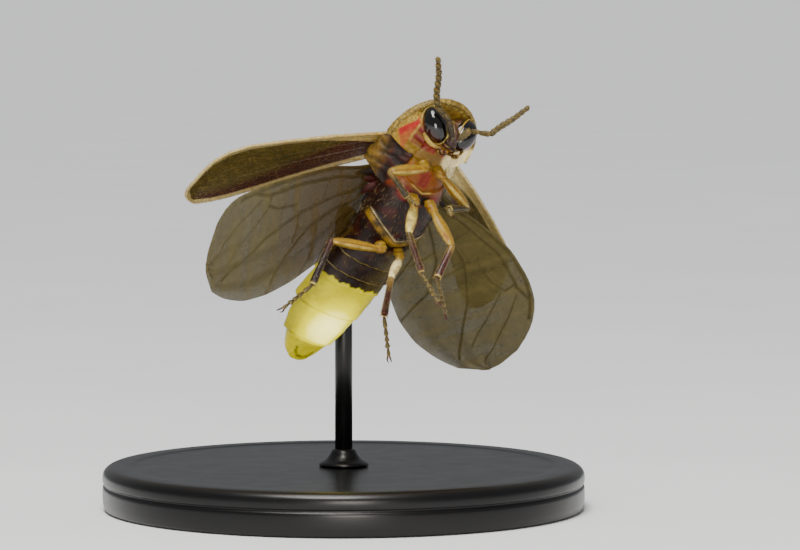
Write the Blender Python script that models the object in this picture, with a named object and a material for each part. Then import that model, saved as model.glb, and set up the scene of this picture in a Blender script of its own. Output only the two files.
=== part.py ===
"""A life-size firefly in flight on a display stand, as closed solids for Blender 4.5.

The insect is modelled in millimetres in its own frame: X to its right, Y to its
head, Z to its back. One empty then turns it into the flying pose over the stand.
"""

import math

import bmesh
import bpy
from mathutils import Euler, Matrix, Vector

# Driving dimensions, in millimetres

MM = 0.001
GAP = 0.25
SIDES = {"right": 1.0, "left": -1.0}

POSE_ANGLES = (56.7, -18.9, -147.1)
HOVER_HEIGHT = 14.4

PRONOTUM_HALF_WIDTH = 2.15
PRONOTUM_REAR = 2.58
PRONOTUM_LENGTH = 2.52
PRONOTUM_MARGIN_HEIGHT = 0.35
PRONOTUM_DOME = 0.95
PRONOTUM_THICKNESS = 0.5

EYE_CENTRE = (0.76, 4.06, -0.33)
EYE_RADII = (0.55, 0.62, 0.8)
EYE_INNER_FACE = 0.47
# Centre and radii of the four swellings that make the head
HEAD_CAPSULE = ((0.0, 3.85, -0.40), (0.82, 0.62, 0.74))
HEAD_FRONS = ((0.0, 4.10, -0.50), (0.50, 0.62, 0.82))
HEAD_MUZZLE = ((0.0, 3.82, -1.02), (0.42, 0.42, 0.44))
HEAD_THROAT = ((0.0, 3.56, -0.85), (0.42, 0.34, 0.36))

ANTENNA_SOCKET = (0.22, 4.77, -0.92)
ANTENNA_RADIUS = 0.25
ANTENNA_JOINTS = 11
# Direction and length of the stem, then of the whip
ANTENNA_STEMS = {
    "right": ((0.88, 0.38, 0.30), 1.15, (0.56, 0.83, 0.04), 2.45),
    "left": ((0.70, 0.25, -0.66), 1.12, (0.65, 0.68, 0.36), 2.35),
}

# Trunk stations run backwards: place along the body, half width, underside, back
PROTHORAX_STATIONS = (
    (3.00, 0.80, -0.62, 0.25),
    (2.75, 1.05, -0.72, 0.32),
    (2.40, 1.10, -0.78, 0.34),
)
THORAX_STATIONS = (
    (2.12, 1.10, -0.78, 0.45),
    (1.60, 1.35, -1.15, 0.62),
    (0.90, 1.50, -1.48, 0.70),
    (0.00, 1.58, -1.72, 0.72),
    (-0.90, 1.56, -1.75, 0.66),
    (-1.85, 1.42, -1.52, 0.55),
)
ABDOMEN_STATIONS = (
    (-2.10, 1.40, -1.45, 0.52),
    (-3.20, 1.58, -1.50, 0.46),
    (-4.30, 1.66, -1.45, 0.40),
)
LANTERN_STATIONS = (
    (-4.55, 1.68, -1.42, 0.38),
    (-6.10, 1.62, -1.32, 0.24),
    (-7.85, 1.10, -1.15, -0.05),
)
TAIL_STATIONS = (
    (-8.10, 0.96, -1.12, -0.12),
    (-8.60, 0.78, -1.02, -0.28),
    (-8.95, 0.45, -0.88, -0.45),
)
# Centre and radii of the two swellings on the thorax
SCUTELLUM = ((0.0, 1.30, 0.66), (0.62, 0.75, 0.30))
BREAST_KEEL = ((0.0, -0.35, -1.60), (0.62, 0.95, 0.36))
RING_RISE = {"abdomen": 0.07, "lantern": 0.08}
ABDOMEN_BEND_START = -2.0
ABDOMEN_BEND_END = -6.5
ABDOMEN_BEND = 0.3

ELYTRON_LENGTH = 9.3
ELYTRON_ROOT = (1.02, 1.40, 1.05)
ELYTRON_SWEEP = 40.3
ELYTRON_RISE = {"right": 4.9, "left": 2.5}
ELYTRON_THICKNESS = 0.5
ELYTRON_CAMBER = 0.22

WING_LENGTH = 9.6
WING_ROOT = (1.82, 0.50, 0.36)
WING_THICKNESS = 0.5
VEIN_HEIGHT = 0.07

CLAW_LENGTH = 0.34

BASE_RADIUS = 11.0
BASE_HEIGHT = 2.0
BASE_BEVEL = 0.35
ROD_RADIUS = 0.4
ROD_SEAT = (0.0, -2.9)
ROD_ARM = 2.4
ROD_BEND_RADIUS = 0.9


class LegPose:
    """Where one leg leaves the body and how its three long parts run, outward side positive."""

    def __init__(self, hip, femur, tibia, tarsus):
        self.hip = hip
        self.femur = femur
        self.tibia = tibia
        self.tarsus = tarsus


# Each long part: direction (outward, forward, up) and length
LEG_POSES = {
    "fore_right": LegPose((0.40, 2.28, -1.12), ((0.93, -0.26, -0.25), 2.0),
                          ((-0.78, -0.40, -0.47), 1.42), ((-0.10, 0.22, -0.97), 0.80)),
    "fore_left": LegPose((0.40, 2.28, -1.12), ((0.86, -0.37, -0.35), 2.05),
                         ((-0.90, -0.06, -0.44), 1.40), ((-0.30, 0.15, -0.94), 0.85)),
    "mid_right": LegPose((0.48, 0.95, -1.98), ((0.30, -0.31, -0.90), 2.1),
                         ((-0.52, -0.56, -0.64), 1.8), ((-0.34, -0.22, -0.91), 1.6)),
    "mid_left": LegPose((0.48, 0.95, -1.98), ((0.32, -0.22, -0.92), 2.1),
                        ((-0.34, -0.61, -0.72), 1.8), ((0.55, -0.69, -0.47), 1.65)),
    "hind_right": LegPose((0.50, -1.75, -2.02), ((0.99, -0.17, 0.0), 2.6),
                          ((0.20, -0.76, -0.62), 2.25), ((0.62, -0.67, -0.41), 1.75)),
    "hind_left": LegPose((0.50, -1.75, -2.02), ((-0.49, -0.11, -0.86), 2.3),
                         ((0.44, -0.89, 0.08), 2.15), ((0.37, -0.69, -0.62), 1.8)),
}
FEMUR_RADII = (0.27, 0.33)
KNEE_RADIUS = 0.25
TIBIA_RADIUS = 0.25
ANKLE_RADIUS = 0.24
TARSUS_RADIUS = 0.25
TARSUS_JOINTS = 5
LEG_FLAT_AXIS = (0.2, 0.9, 0.3)
COXA_RADII = {"fore": (0.30, 0.34, 0.52), "mid": (0.34, 0.44, 0.42), "hind": (0.36, 0.40, 0.36)}

# Outlines as pairs: share of the length, distance across
ELYTRON_FRONTS = ((0.0, 1.22), (0.25, 1.72), (0.48, 2.06), (0.66, 2.26), (0.76, 2.18), (0.84, 1.90),
                  (0.90, 1.50), (0.95, 1.05), (0.98, 0.70), (1.0, 0.40))
ELYTRON_REARS = ((0.0, 0.0), (0.3, -0.08), (0.5, -0.20), (0.65, -0.33), (0.8, -0.42), (0.88, -0.42),
                 (0.94, -0.36), (0.98, -0.28), (1.0, -0.10))
# The right wing meets its wing case's rear edge; the left one reaches in behind its own
WING_LEADING = {
    "right": ((0.0, -0.18), (0.1, -0.45), (0.2, -0.95), (0.42, -1.22), (0.6, -1.42), (0.72, -1.52),
              (0.82, -1.58), (0.9, -1.30), (0.96, -0.50), (1.0, 0.70)),
    "left": ((0.0, -0.18), (0.1, -0.45), (0.2, -1.20), (0.42, -2.00), (0.6, -2.10), (0.72, -1.90),
             (0.82, -1.35), (0.9, -0.60), (0.96, 0.20), (1.0, 1.10)),
}
WING_TRAILING = ((0.0, 0.24), (0.09, 0.85), (0.16, 1.85), (0.28, 3.05), (0.45, 4.10), (0.6, 4.35),
                 (0.74, 4.15), (0.86, 3.50), (0.94, 2.80), (1.0, 1.80))

# Directions out along each wing and back across it
WING_POSES = {
    "right": ((0.806, -0.404, -0.434), (-0.455, -0.890, -0.017)),
    "left": ((0.807, -0.555, -0.202), (-0.470, -0.810, 0.360)),
}

COLOURS = {
    "horn": ((0.30, 0.19, 0.06), 0.45),
    "eye": ((0.01, 0.01, 0.012), 0.08),
    "antenna": ((0.13, 0.10, 0.05), 0.5),
    "pronotum": ((0.42, 0.30, 0.10), 0.5),
    "amber": ((0.48, 0.27, 0.07), 0.45),
    "thorax": ((0.07, 0.035, 0.02), 0.4),
    "abdomen": ((0.06, 0.035, 0.02), 0.4),
    "lantern": ((0.95, 0.92, 0.25), 0.35),
    "leg": ((0.50, 0.34, 0.12), 0.45),
    "elytron": ((0.20, 0.16, 0.06), 0.5),
    "wing": ((0.30, 0.27, 0.18), 0.3),
    "stand": ((0.03, 0.03, 0.032), 0.35),
}


# Helpers: small vector forms

def unit(vector):
    """The direction of a vector."""
    return Vector(vector).normalized()


def sided(point, side):
    """Mirror a right-hand point to the side asked for."""
    return Vector((point[0] * SIDES[side], point[1], point[2]))


def blend_rows(rows, place):
    """Read a table of stations at a place, with smooth steps between its rows."""
    for first, second in zip(rows, rows[1:]):
        low, high = sorted((first[0], second[0]))
        if low <= place <= high:
            share = (place - first[0]) / (second[0] - first[0])
            return [a + (b - a) * share for a, b in zip(first[1:], second[1:])]
    return list(rows[0][1:] if abs(place - rows[0][0]) < abs(place - rows[-1][0]) else rows[-1][1:])


def smooth_rows(rows, place):
    """Read a table of stations at a place along a smooth curve through its rows."""
    reach = 0.35 * abs(rows[-1][0] - rows[0][0]) / (len(rows) - 1)
    places = [place - reach, place, place + reach]
    low, high = sorted((rows[0][0], rows[-1][0]))
    reads = [blend_rows(rows, min(max(p, low), high)) for p in places]
    return [0.25 * a + 0.5 * b + 0.25 * c for a, b, c in zip(*reads)]


# Helpers: closed meshes

def new_object(name, mesh_builder):
    """Turn a bmesh into a linked object and free the bmesh."""
    mesh = bpy.data.meshes.new(name)
    bmesh.ops.recalc_face_normals(mesh_builder, faces=mesh_builder.faces)
    mesh_builder.to_mesh(mesh)
    mesh_builder.free()
    result = bpy.data.objects.new(name, mesh)
    bpy.context.scene.collection.objects.link(result)
    return result


def loft(name, rings):
    """Join rings of equal count into one closed skin, with a fan at each end."""
    builder = bmesh.new()
    loops = [[builder.verts.new(point) for point in ring] for ring in rings]
    count = len(loops[0])
    for near, far in zip(loops, loops[1:]):
        for i in range(count):
            j = (i + 1) % count
            builder.faces.new((near[i], near[j], far[j], far[i]))
    for loop in (loops[0], loops[-1]):
        centre = builder.verts.new(sum((v.co for v in loop), Vector()) / count)
        for i in range(count):
            builder.faces.new((loop[i], loop[(i + 1) % count], centre))
    return new_object(name, builder)


def oval(centre, across, up, half_across, half_up, count, squareness=1.0):
    """Give one closed ring; squareness over 1 fills the corners."""
    ring = []
    for i in range(count):
        angle = math.tau * (i + 0.5) / count
        c, s = math.cos(angle), math.sin(angle)
        c = math.copysign(abs(c) ** (1 / squareness), c)
        s = math.copysign(abs(s) ** (1 / squareness), s)
        ring.append(Vector(centre) + across * (half_across * c) + up * (half_up * s))
    return ring


def tube(name, points, radii, count=10, flatness=1.0, flat_axis=(0, 0, 1)):
    """Loft ovals along a path; flatness under 1 thins the ovals along the flat axis."""
    points = [Vector(p) for p in points]
    rings = []
    reference = unit(flat_axis)
    for i, point in enumerate(points):
        before = points[max(i - 1, 0)]
        after = points[min(i + 1, len(points) - 1)]
        along = (after - before).normalized()
        across = along.cross(reference).normalized()
        up = across.cross(along).normalized()
        reference = up
        rings.append(oval(point, across, up, radii[i], radii[i] * flatness, count))
    return loft(name, rings)


def egg(name, centre, radii, segments=16, rings=10):
    """A closed ellipsoid."""
    builder = bmesh.new()
    bmesh.ops.create_uvsphere(builder, u_segments=segments, v_segments=rings, radius=1.0)
    builder.transform(Matrix.Translation(Vector(centre)) @ Matrix.Diagonal((*radii, 1.0)))
    return new_object(name, builder)


def slice_flat(part, point, normal):
    """Cut away what lies on the normal's side of a plane and close the cut."""
    builder = bmesh.new()
    builder.from_mesh(part.data)
    everything = builder.verts[:] + builder.edges[:] + builder.faces[:]
    cut = bmesh.ops.bisect_plane(builder, geom=everything, plane_co=Vector(point),
                                 plane_no=Vector(normal), clear_outer=True)
    rim = [item for item in cut["geom_cut"] if isinstance(item, bmesh.types.BMEdge)]
    bmesh.ops.holes_fill(builder, edges=rim, sides=0)
    bmesh.ops.recalc_face_normals(builder, faces=builder.faces)
    builder.to_mesh(part.data)
    builder.free()
    return part


def vane(name, surface, spans, chords, thickness):
    """A thin curved plate with the same triangles on both faces.

    surface(span, chord) gives a middle point and a normal; thickness(span, chord)
    gives the full thickness there.
    """
    builder = bmesh.new()
    faces_up, faces_down = [], []
    for span in spans:
        upper, lower = [], []
        for chord in chords:
            point, normal = surface(span, chord)
            half = 0.5 * thickness(span, chord)
            upper.append(builder.verts.new(point + normal * half))
            lower.append(builder.verts.new(point - normal * half))
        faces_up.append(upper)
        faces_down.append(lower)
    for grid in (faces_up, faces_down):
        for near, far in zip(grid, grid[1:]):
            for j in range(len(near) - 1):
                builder.faces.new((near[j], near[j + 1], far[j + 1]))
                builder.faces.new((near[j], far[j + 1], far[j]))
    close_vane_rim(builder, faces_up, faces_down)
    return new_object(name, builder)


def close_vane_rim(builder, upper, lower):
    """Join the two faces of a plate all round its border."""
    last_row, last_column = len(upper) - 1, len(upper[0]) - 1
    border = [(0, j) for j in range(last_column)]
    border += [(i, last_column) for i in range(last_row)]
    border += [(last_row, j) for j in range(last_column, 0, -1)]
    border += [(i, 0) for i in range(last_row, 0, -1)]
    for (i, j), (k, m) in zip(border, border[1:] + border[:1]):
        builder.faces.new((upper[i][j], upper[k][m], lower[k][m]))
        builder.faces.new((upper[i][j], lower[k][m], lower[i][j]))


# Helpers: joining, cutting and finishing

def combine(base, others, operation):
    """Join the others to the base, or cut them from it, in one Boolean."""
    tools = bpy.data.collections.new("tools")
    bpy.context.scene.collection.children.link(tools)
    for other in others:
        bpy.context.scene.collection.objects.unlink(other)
        tools.objects.link(other)
    modifier = base.modifiers.new("combine", "BOOLEAN")
    modifier.operation = operation
    modifier.operand_type = "COLLECTION"
    modifier.collection = tools
    modifier.solver = "EXACT"
    bpy.context.view_layer.update()
    graph = bpy.context.evaluated_depsgraph_get()
    mesh = bpy.data.meshes.new_from_object(base.evaluated_get(graph))
    base.modifiers.clear()
    base.data = mesh
    for other in others:
        bpy.data.objects.remove(other)
    bpy.data.collections.remove(tools)
    return base


def fuse(pieces):
    """Join overlapping closed pieces into one closed body."""
    return keep_largest(combine(pieces[0], pieces[1:], "UNION"))


def carve(base, cutters):
    """Cut closed pieces out of a body."""
    return keep_largest(combine(base, cutters, "DIFFERENCE"))


def keep_largest(part):
    """Keep only the closed surface with the most faces."""
    builder = bmesh.new()
    builder.from_mesh(part.data)
    left = set(builder.faces)
    groups = []
    while left:
        group = grow_group(left)
        groups.append(group)
        left -= group
    groups.sort(key=len)
    for group in groups[:-1]:
        bmesh.ops.delete(builder, geom=list(group), context="FACES")
    builder.to_mesh(part.data)
    builder.free()
    return part


def grow_group(faces):
    """Collect the faces that share edges with one starting face."""
    start = next(iter(faces))
    group, edge_of_group = {start}, [start]
    while edge_of_group:
        face = edge_of_group.pop()
        for edge in face.edges:
            for neighbour in edge.link_faces:
                if neighbour not in group:
                    group.add(neighbour)
                    edge_of_group.append(neighbour)
    return group


def material_named(key):
    """Find or make the plain material of one key."""
    found = bpy.data.materials.get(key)
    if found:
        return found
    colour, roughness = COLOURS[key]
    material = bpy.data.materials.new(key)
    material.use_nodes = True
    shader = material.node_tree.nodes["Principled BSDF"]
    shader.inputs["Base Color"].default_value = (*colour, 1.0)
    shader.inputs["Roughness"].default_value = roughness
    shader.inputs["Metallic"].default_value = 0.8 if key == "stand" else 0.0
    return material


def finish(part, name, key, parent=None):
    """Name a part, give it its material, scale it to metres and hang it on its empty."""
    part.name = name
    part.data.name = name
    part.data.transform(Matrix.Scale(MM, 4))
    part.data.materials.clear()
    part.data.materials.append(material_named(key))
    part.parent = parent
    return part


# The trunk: prothorax, thorax, abdomen, lantern and tail

def abdomen_bend(place):
    """How far the body's middle line leans to its right at a place."""
    share = (ABDOMEN_BEND_START - place) / (ABDOMEN_BEND_START - ABDOMEN_BEND_END)
    share = min(max(share, 0.0), 1.0)
    return ABDOMEN_BEND * share * share * (3 - 2 * share)


def trunk(name, stations, places, swell=None, count=24, squareness=1.12):
    """Loft the trunk between its first and last station."""
    rings = []
    for place in places:
        half_width, bottom, top = smooth_rows(stations, place)
        grow = swell(place) if swell else 0.0
        centre = (abdomen_bend(place), place, 0.5 * (bottom + top))
        rings.append(oval(centre, Vector((1, 0, 0)), Vector((0, 0, 1)), half_width + grow,
                          0.5 * (top - bottom) + grow, count, squareness))
    return loft(name, rings)


def steps(first, last, count):
    """Evenly spaced places from the first to the last."""
    return [first + (last - first) * i / (count - 1) for i in range(count)]


def segment_places(first, last, count):
    """Places for a row of body rings: each ring's front, swell, rear rim and groove."""
    length = (last - first) / count
    places = []
    for i in range(count):
        start = first + i * length
        places += [start, start + 0.45 * length, start + 0.88 * length]
    return places + [last]


def ring_swell(first, last, count, rise):
    """How far a body ring stands out at a place: widest at its rear rim."""
    length = (last - first) / count

    def swell(place):
        share = ((place - first) / length) % 1.0
        if abs(place - last) < 1e-6:
            share = 0.88
        return rise * math.sin(0.5 * math.pi * min(share / 0.88, 1.0)) if share > 1e-6 else 0.0

    return swell


def coxa_cutters(pairs):
    """The hollows in the trunk that the leg bases stand in, one gap wider than them."""
    cutters = []
    for leg, pose in LEG_POSES.items():
        pair, side = leg.split("_")
        if pair not in pairs:
            continue
        radii = [r + GAP for r in COXA_RADII[pair]]
        cutters.append(egg("cutter", sided(pose.hip, side), radii, 12, 8))
    return cutters


def build_trunk(parent):
    """The body from the neck to the tail tip, in five nodes."""
    prothorax = trunk("prothorax", PROTHORAX_STATIONS, steps(3.00, 2.40, 4), count=20)
    finish(carve(prothorax, coxa_cutters(("fore",))), "prosternum", "amber", parent)
    thorax = trunk("thorax", THORAX_STATIONS, steps(2.12, -1.85, 10))
    scutellum = egg("scutellum", *SCUTELLUM, 14, 8)
    keel = egg("keel", *BREAST_KEEL, 14, 8)
    body = fuse([thorax, scutellum, keel])
    finish(carve(body, coxa_cutters(COXA_RADII)), "thorax", "thorax", parent)
    abdomen = trunk("abdomen", ABDOMEN_STATIONS, segment_places(-2.10, -4.30, 3),
                    ring_swell(-2.10, -4.30, 3, RING_RISE["abdomen"]))
    finish(abdomen, "abdomen", "abdomen", parent)
    lantern = trunk("lantern", LANTERN_STATIONS, segment_places(-4.55, -7.85, 2),
                    ring_swell(-4.55, -7.85, 2, RING_RISE["lantern"]))
    finish(lantern, "lantern", "lantern", parent)
    tail = trunk("tail", TAIL_STATIONS, steps(-8.10, -8.95, 5), count=20)
    finish(tail, "abdomen_tip", "lantern", parent)


# The pronotum: a domed shield over the head

def pronotum_outline(angle):
    """A point on the shield's border, round its front half."""
    c, s = math.cos(angle), math.sin(angle)
    return Vector((PRONOTUM_HALF_WIDTH * math.copysign(abs(c) ** 0.9, c),
                   PRONOTUM_REAR + PRONOTUM_LENGTH * s))


def pronotum_height(point):
    """The middle surface of the shield: a dome that flattens towards its border."""
    across = point.x / PRONOTUM_HALF_WIDTH
    along = (point.y - PRONOTUM_REAR) / PRONOTUM_LENGTH
    reach = min(1.0, math.hypot(across, along))
    return PRONOTUM_MARGIN_HEIGHT + PRONOTUM_DOME * (1.0 - reach ** 3)


def build_pronotum(parent):
    """Rows run from the rear edge to the front border, columns from side to side."""
    columns = [math.pi * i / 24 for i in range(25)]
    rows = (0.0, 0.2, 0.4, 0.6, 0.78, 0.9, 1.0)

    def surface(share, angle):
        border = pronotum_outline(angle)
        point = Vector((border.x, PRONOTUM_REAR + (border.y - PRONOTUM_REAR) * share, 0.0))
        point.z = pronotum_height(point)
        return point, Vector((0, 0, 1))

    shield = vane("pronotum", surface, rows, columns, lambda share, angle: PRONOTUM_THICKNESS)
    tidy_plate(shield)
    finish(shield, "pronotum", "pronotum", parent)


def tidy_plate(part):
    """Weld the points of a plate that meet where its rows close up."""
    builder = bmesh.new()
    builder.from_mesh(part.data)
    bmesh.ops.remove_doubles(builder, verts=builder.verts, dist=0.002)
    bmesh.ops.recalc_face_normals(builder, faces=builder.faces)
    builder.to_mesh(part.data)
    builder.free()


# The head, eyes and antennae

def eye_shape(side, grow=0.0):
    """One eye, flat where it meets the head; grow gives the hollow it sits in."""
    radii = [r + grow for r in EYE_RADII]
    eye = egg("eye", sided(EYE_CENTRE, side), radii, 20, 14)
    inner = SIDES[side] * (EYE_INNER_FACE - grow)
    return slice_flat(eye, (inner, 0, 0), (-SIDES[side], 0, 0))


def mouthparts():
    """Mandibles and palps under the face."""
    pieces = []
    for sign in SIDES.values():
        jaw = [(0.16 * sign, 3.72, -1.10), (0.20 * sign, 3.72, -1.30), (0.10 * sign, 3.66, -1.46)]
        pieces.append(tube("jaw", jaw, (0.16, 0.12, 0.05), 8, 0.8, (0, 1, 0)))
        palp = [(0.28 * sign, 3.46, -0.96), (0.40 * sign, 3.27, -1.12), (0.42 * sign, 3.34, -1.32),
                (0.36 * sign, 3.48, -1.46), (0.30 * sign, 3.60, -1.62)]
        pieces.append(tube("palp", palp, (0.13, 0.14, 0.15, 0.15, 0.08), 8, 1.0, (0, 1, 0)))
    return pieces


def build_head(parent):
    """The head with hollows for its eyes and antennae, and the two eyes."""
    capsule = egg("capsule", *HEAD_CAPSULE, 18, 12)
    frons = egg("frons", *HEAD_FRONS, 18, 12)
    muzzle = egg("muzzle", *HEAD_MUZZLE, 14, 10)
    throat = egg("throat", *HEAD_THROAT, 14, 10)
    head = fuse([capsule, frons, muzzle, throat] + mouthparts())
    head = carve(head, [eye_shape(side, GAP) for side in SIDES])
    sockets = [egg("socket", sided(ANTENNA_SOCKET, side), [ANTENNA_RADIUS + GAP] * 3, 12, 8)
               for side in SIDES]
    finish(carve(head, sockets), "head", "horn", parent)
    for side in SIDES:
        finish(eye_shape(side), f"eye_{side}", "eye", parent)


def antenna_path(side):
    """Points along one antenna, three for each of its joints, with their radii."""
    stem_way, stem_length, whip_way, whip_length = ANTENNA_STEMS[side]
    socket = sided(ANTENNA_SOCKET, side)
    elbow = socket + sided(unit(stem_way), side) * stem_length
    shares = [0.55, 0.2, 0.25] + [1.0 / (ANTENNA_JOINTS - 3)] * (ANTENNA_JOINTS - 3)
    points, radii = [], []
    travelled = 0.0
    for joint, share in enumerate(shares):
        on_stem = joint < 3
        length = share * (stem_length if on_stem else whip_length)
        start = socket if on_stem else elbow
        way = sided(unit(stem_way if on_stem else whip_way), side)
        if joint == 3:
            travelled = 0.0
        taper = 1.0 if joint < ANTENNA_JOINTS - 2 else 0.85
        for fraction, swell in ((0.06, 0.86), (0.7, 1.06), (0.94, 1.0)):
            points.append(start + way * (travelled + fraction * length))
            radii.append(ANTENNA_RADIUS * swell * taper)
        travelled += length
    radii[-1] *= 0.5
    return points, radii


def build_antennae(parent):
    """Both antennae, each one lofted tube."""
    for side in SIDES:
        points, radii = antenna_path(side)
        antenna = tube("antenna", points, radii, 8, 0.95, (0.3, 0, 1))
        finish(antenna, f"antenna_{side}", "antenna", parent)


# The legs

def femur_piece(start, end):
    """The thick flattened thigh."""
    points = [start.lerp(end, t) for t in (0.0, 0.12, 0.35, 0.65, 0.88, 1.0)]
    thin, thick = FEMUR_RADII
    radii = (thin * 0.8, thin, thick, thick, thin, thin * 0.85)
    return tube("femur", points, radii, 10, 0.8, LEG_FLAT_AXIS)


def tibia_piece(start, end):
    """The shin, a little wider at its far end."""
    points = [start.lerp(end, t) for t in (-0.04, 0.1, 0.5, 0.92, 1.0)]
    radii = [TIBIA_RADIUS * k for k in (0.9, 1.0, 1.0, 1.12, 0.95)]
    return tube("tibia", points, radii, 8, 1.0, LEG_FLAT_AXIS)


def tarsus_piece(start, end):
    """Five joints, each flared towards its end."""
    points, radii = [], []
    for joint in range(TARSUS_JOINTS):
        for fraction, swell in ((0.02, 0.78), (0.75, 1.08), (0.95, 1.0)):
            points.append(start.lerp(end, (joint + fraction) / TARSUS_JOINTS))
            radii.append(TARSUS_RADIUS * swell)
    radii[-1] *= 0.6
    return tube("tarsus", points, radii, 8, 0.95, LEG_FLAT_AXIS)


def claw_pieces(ankle, tip):
    """Two small hooked claws at the end of the tarsus."""
    along = (tip - ankle).normalized()
    across = along.cross(Vector(LEG_FLAT_AXIS)).normalized()
    claws = []
    for sign in SIDES.values():
        root = tip - along * 0.12 + across * (0.09 * sign)
        bend = root + along * (0.6 * CLAW_LENGTH) + across * (0.14 * sign)
        point = root + along * CLAW_LENGTH + across * (0.04 * sign)
        claws.append(tube("claw", (root, bend, point), (0.12, 0.09, 0.03), 6, 1.0, across))
    return claws


def build_leg(leg, pose, parent):
    """One whole leg, fused from its base to its claws."""
    pair, side = leg.split("_")
    hip = sided(pose.hip, side)
    coxa = egg("coxa", hip, COXA_RADII[pair], 14, 8)
    knee = hip + sided(unit(pose.femur[0]), side) * pose.femur[1]
    ankle = knee + sided(unit(pose.tibia[0]), side) * pose.tibia[1]
    toe = ankle + sided(unit(pose.tarsus[0]), side) * pose.tarsus[1]
    pieces = [coxa, femur_piece(hip, knee), egg("knee", knee, [KNEE_RADIUS] * 3, 10, 6),
              tibia_piece(knee, ankle), egg("ankle", ankle, [ANKLE_RADIUS] * 3, 10, 6),
              tarsus_piece(ankle, toe)]
    finish(fuse(pieces + claw_pieces(ankle, toe)), f"leg_{leg}", "leg", parent)


# The wing cases and wings

def read_profile(profile, place):
    """Read an outline given as (place, value) pairs, with rounded joins."""
    return smooth_rows(profile, place)[0]


def elytron_frame(side):
    """Directions of one wing case: out along its length, back across it, and its normal."""
    sweep, rise = math.radians(ELYTRON_SWEEP), math.radians(ELYTRON_RISE[side])
    span = sided((math.cos(rise) * math.cos(sweep), -math.cos(rise) * math.sin(sweep),
                  math.sin(rise)), side)
    chord = sided((-math.sin(sweep), -math.cos(sweep), 0.0), side)
    normal = span.cross(chord).normalized()
    return span, chord, normal if normal.z > 0 else -normal


def build_elytra(parent):
    """Both wing cases, arched plates that taper to a rounded tip."""
    spans = [0.0, 0.04, 0.12, 0.22, 0.32, 0.42, 0.52, 0.62, 0.7, 0.78, 0.85, 0.9, 0.94, 0.97, 0.99, 1.0]
    chords = [0.0, 0.12, 0.35, 0.6, 0.85, 1.0]
    for side in SIDES:
        span, chord, normal = elytron_frame(side)
        root = sided(ELYTRON_ROOT, side)

        def surface(place, share):
            rear = read_profile(ELYTRON_REARS, place)
            width = read_profile(ELYTRON_FRONTS, place) - rear
            arch = ELYTRON_CAMBER * math.sin(math.pi * share) * min(1.0, width / 1.5)
            point = root + span * (place * ELYTRON_LENGTH) - chord * (rear + width * share)
            return point + normal * arch, normal

        def thickness(place, share):
            return ELYTRON_THICKNESS * (0.7 if place > 0.985 else 1.0)

        case = vane("elytron", surface, spans, chords, thickness)
        finish(case, f"elytron_{side}", "elytron", parent)


def build_wings(parent):
    """The veins are the even columns of the plate, raised on both faces."""
    spans = steps(0.0, 1.0, 19)
    columns = [0.0, 0.09, 0.18, 0.29, 0.40, 0.52, 0.64, 0.76, 0.88, 1.0]
    for side in SIDES:
        span = sided(unit(WING_POSES[side][0]), side)
        chord = sided(unit(WING_POSES[side][1]), side)
        normal = span.cross(chord).normalized()
        normal = normal if normal.z > 0 else -normal
        root = sided(WING_ROOT, side)

        def surface(place, share):
            lead = read_profile(WING_LEADING[side], place)
            trail = read_profile(WING_TRAILING, place)
            point = root + span * (place * WING_LENGTH) + chord * (lead + (trail - lead) * share)
            return point + normal * (0.25 * math.sin(math.pi * place) * (1.0 - share)), normal

        def thickness(place, share):
            vein = columns.index(share) % 2 == 0 and place < 0.95
            return WING_THICKNESS + (2 * VEIN_HEIGHT if vein else 0.0)

        wing = vane("wing", surface, spans, columns, thickness)
        finish(wing, f"wing_{side}", "wing", parent)


# The stand

def rod_path(pose):
    """The rod's points in the world, from the base up and over to the insect's back."""
    along = ROD_SEAT[1]
    top = smooth_rows(ABDOMEN_STATIONS, along)[2] + RING_RISE["abdomen"]
    seat = pose @ Vector((ROD_SEAT[0], along, top + GAP))
    back = (pose.to_3x3() @ Vector((0, 0, 1))).normalized()
    elbow = seat + back * ROD_ARM
    foot = Vector((elbow.x, elbow.y, BASE_HEIGHT + GAP))
    return [foot] + rounded_corner(foot, elbow, seat) + [seat]


def rounded_corner(before, corner, after, count=6):
    """Points of a short arc that rounds a corner."""
    start = corner + (before - corner).normalized() * ROD_BEND_RADIUS
    end = corner + (after - corner).normalized() * ROD_BEND_RADIUS
    points = []
    for i in range(count + 1):
        t = i / count
        points.append(start * (1 - t) ** 2 + corner * (2 * t * (1 - t)) + end * t ** 2)
    return points


def build_stand(pose):
    """The rod and the round base."""
    points = rod_path(pose)
    rod = tube("rod", points, [ROD_RADIUS] * len(points), 16, 1.0, (0, 1, 0.01))
    finish(rod, "stand_rod", "stand")
    bevel = BASE_BEVEL
    levels = ((0.0, BASE_RADIUS), (BASE_HEIGHT - bevel, BASE_RADIUS), (BASE_HEIGHT, BASE_RADIUS - bevel))
    rings = [oval((0, 0, z), Vector((1, 0, 0)), Vector((0, 1, 0)), r, r, 48) for z, r in levels]
    finish(loft("base", rings), "stand_base", "stand")


def insect_pose():
    """The insect's place and turn in the world, in millimetres, with the rod's foot centred."""
    turn = Euler([math.radians(a) for a in POSE_ANGLES]).to_matrix().to_4x4()
    foot = rod_path(turn)[0]
    return Matrix.Translation((-foot.x, -foot.y, HOVER_HEIGHT)) @ turn


def clear_scene():
    """Start from an empty scene."""
    for item in list(bpy.data.objects):
        bpy.data.objects.remove(item)


def main():
    """Build every node under one posed carrier."""
    clear_scene()
    pose = insect_pose()
    carrier = bpy.data.objects.new("insect_pose", None)
    bpy.context.scene.collection.objects.link(carrier)
    carrier.rotation_euler = pose.to_euler()
    carrier.location = pose.translation * MM
    build_trunk(carrier)
    build_pronotum(carrier)
    build_head(carrier)
    build_antennae(carrier)
    for leg, leg_pose in LEG_POSES.items():
        build_leg(leg, leg_pose, carrier)
    build_elytra(carrier)
    build_wings(carrier)
    build_stand(pose)


main()
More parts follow.
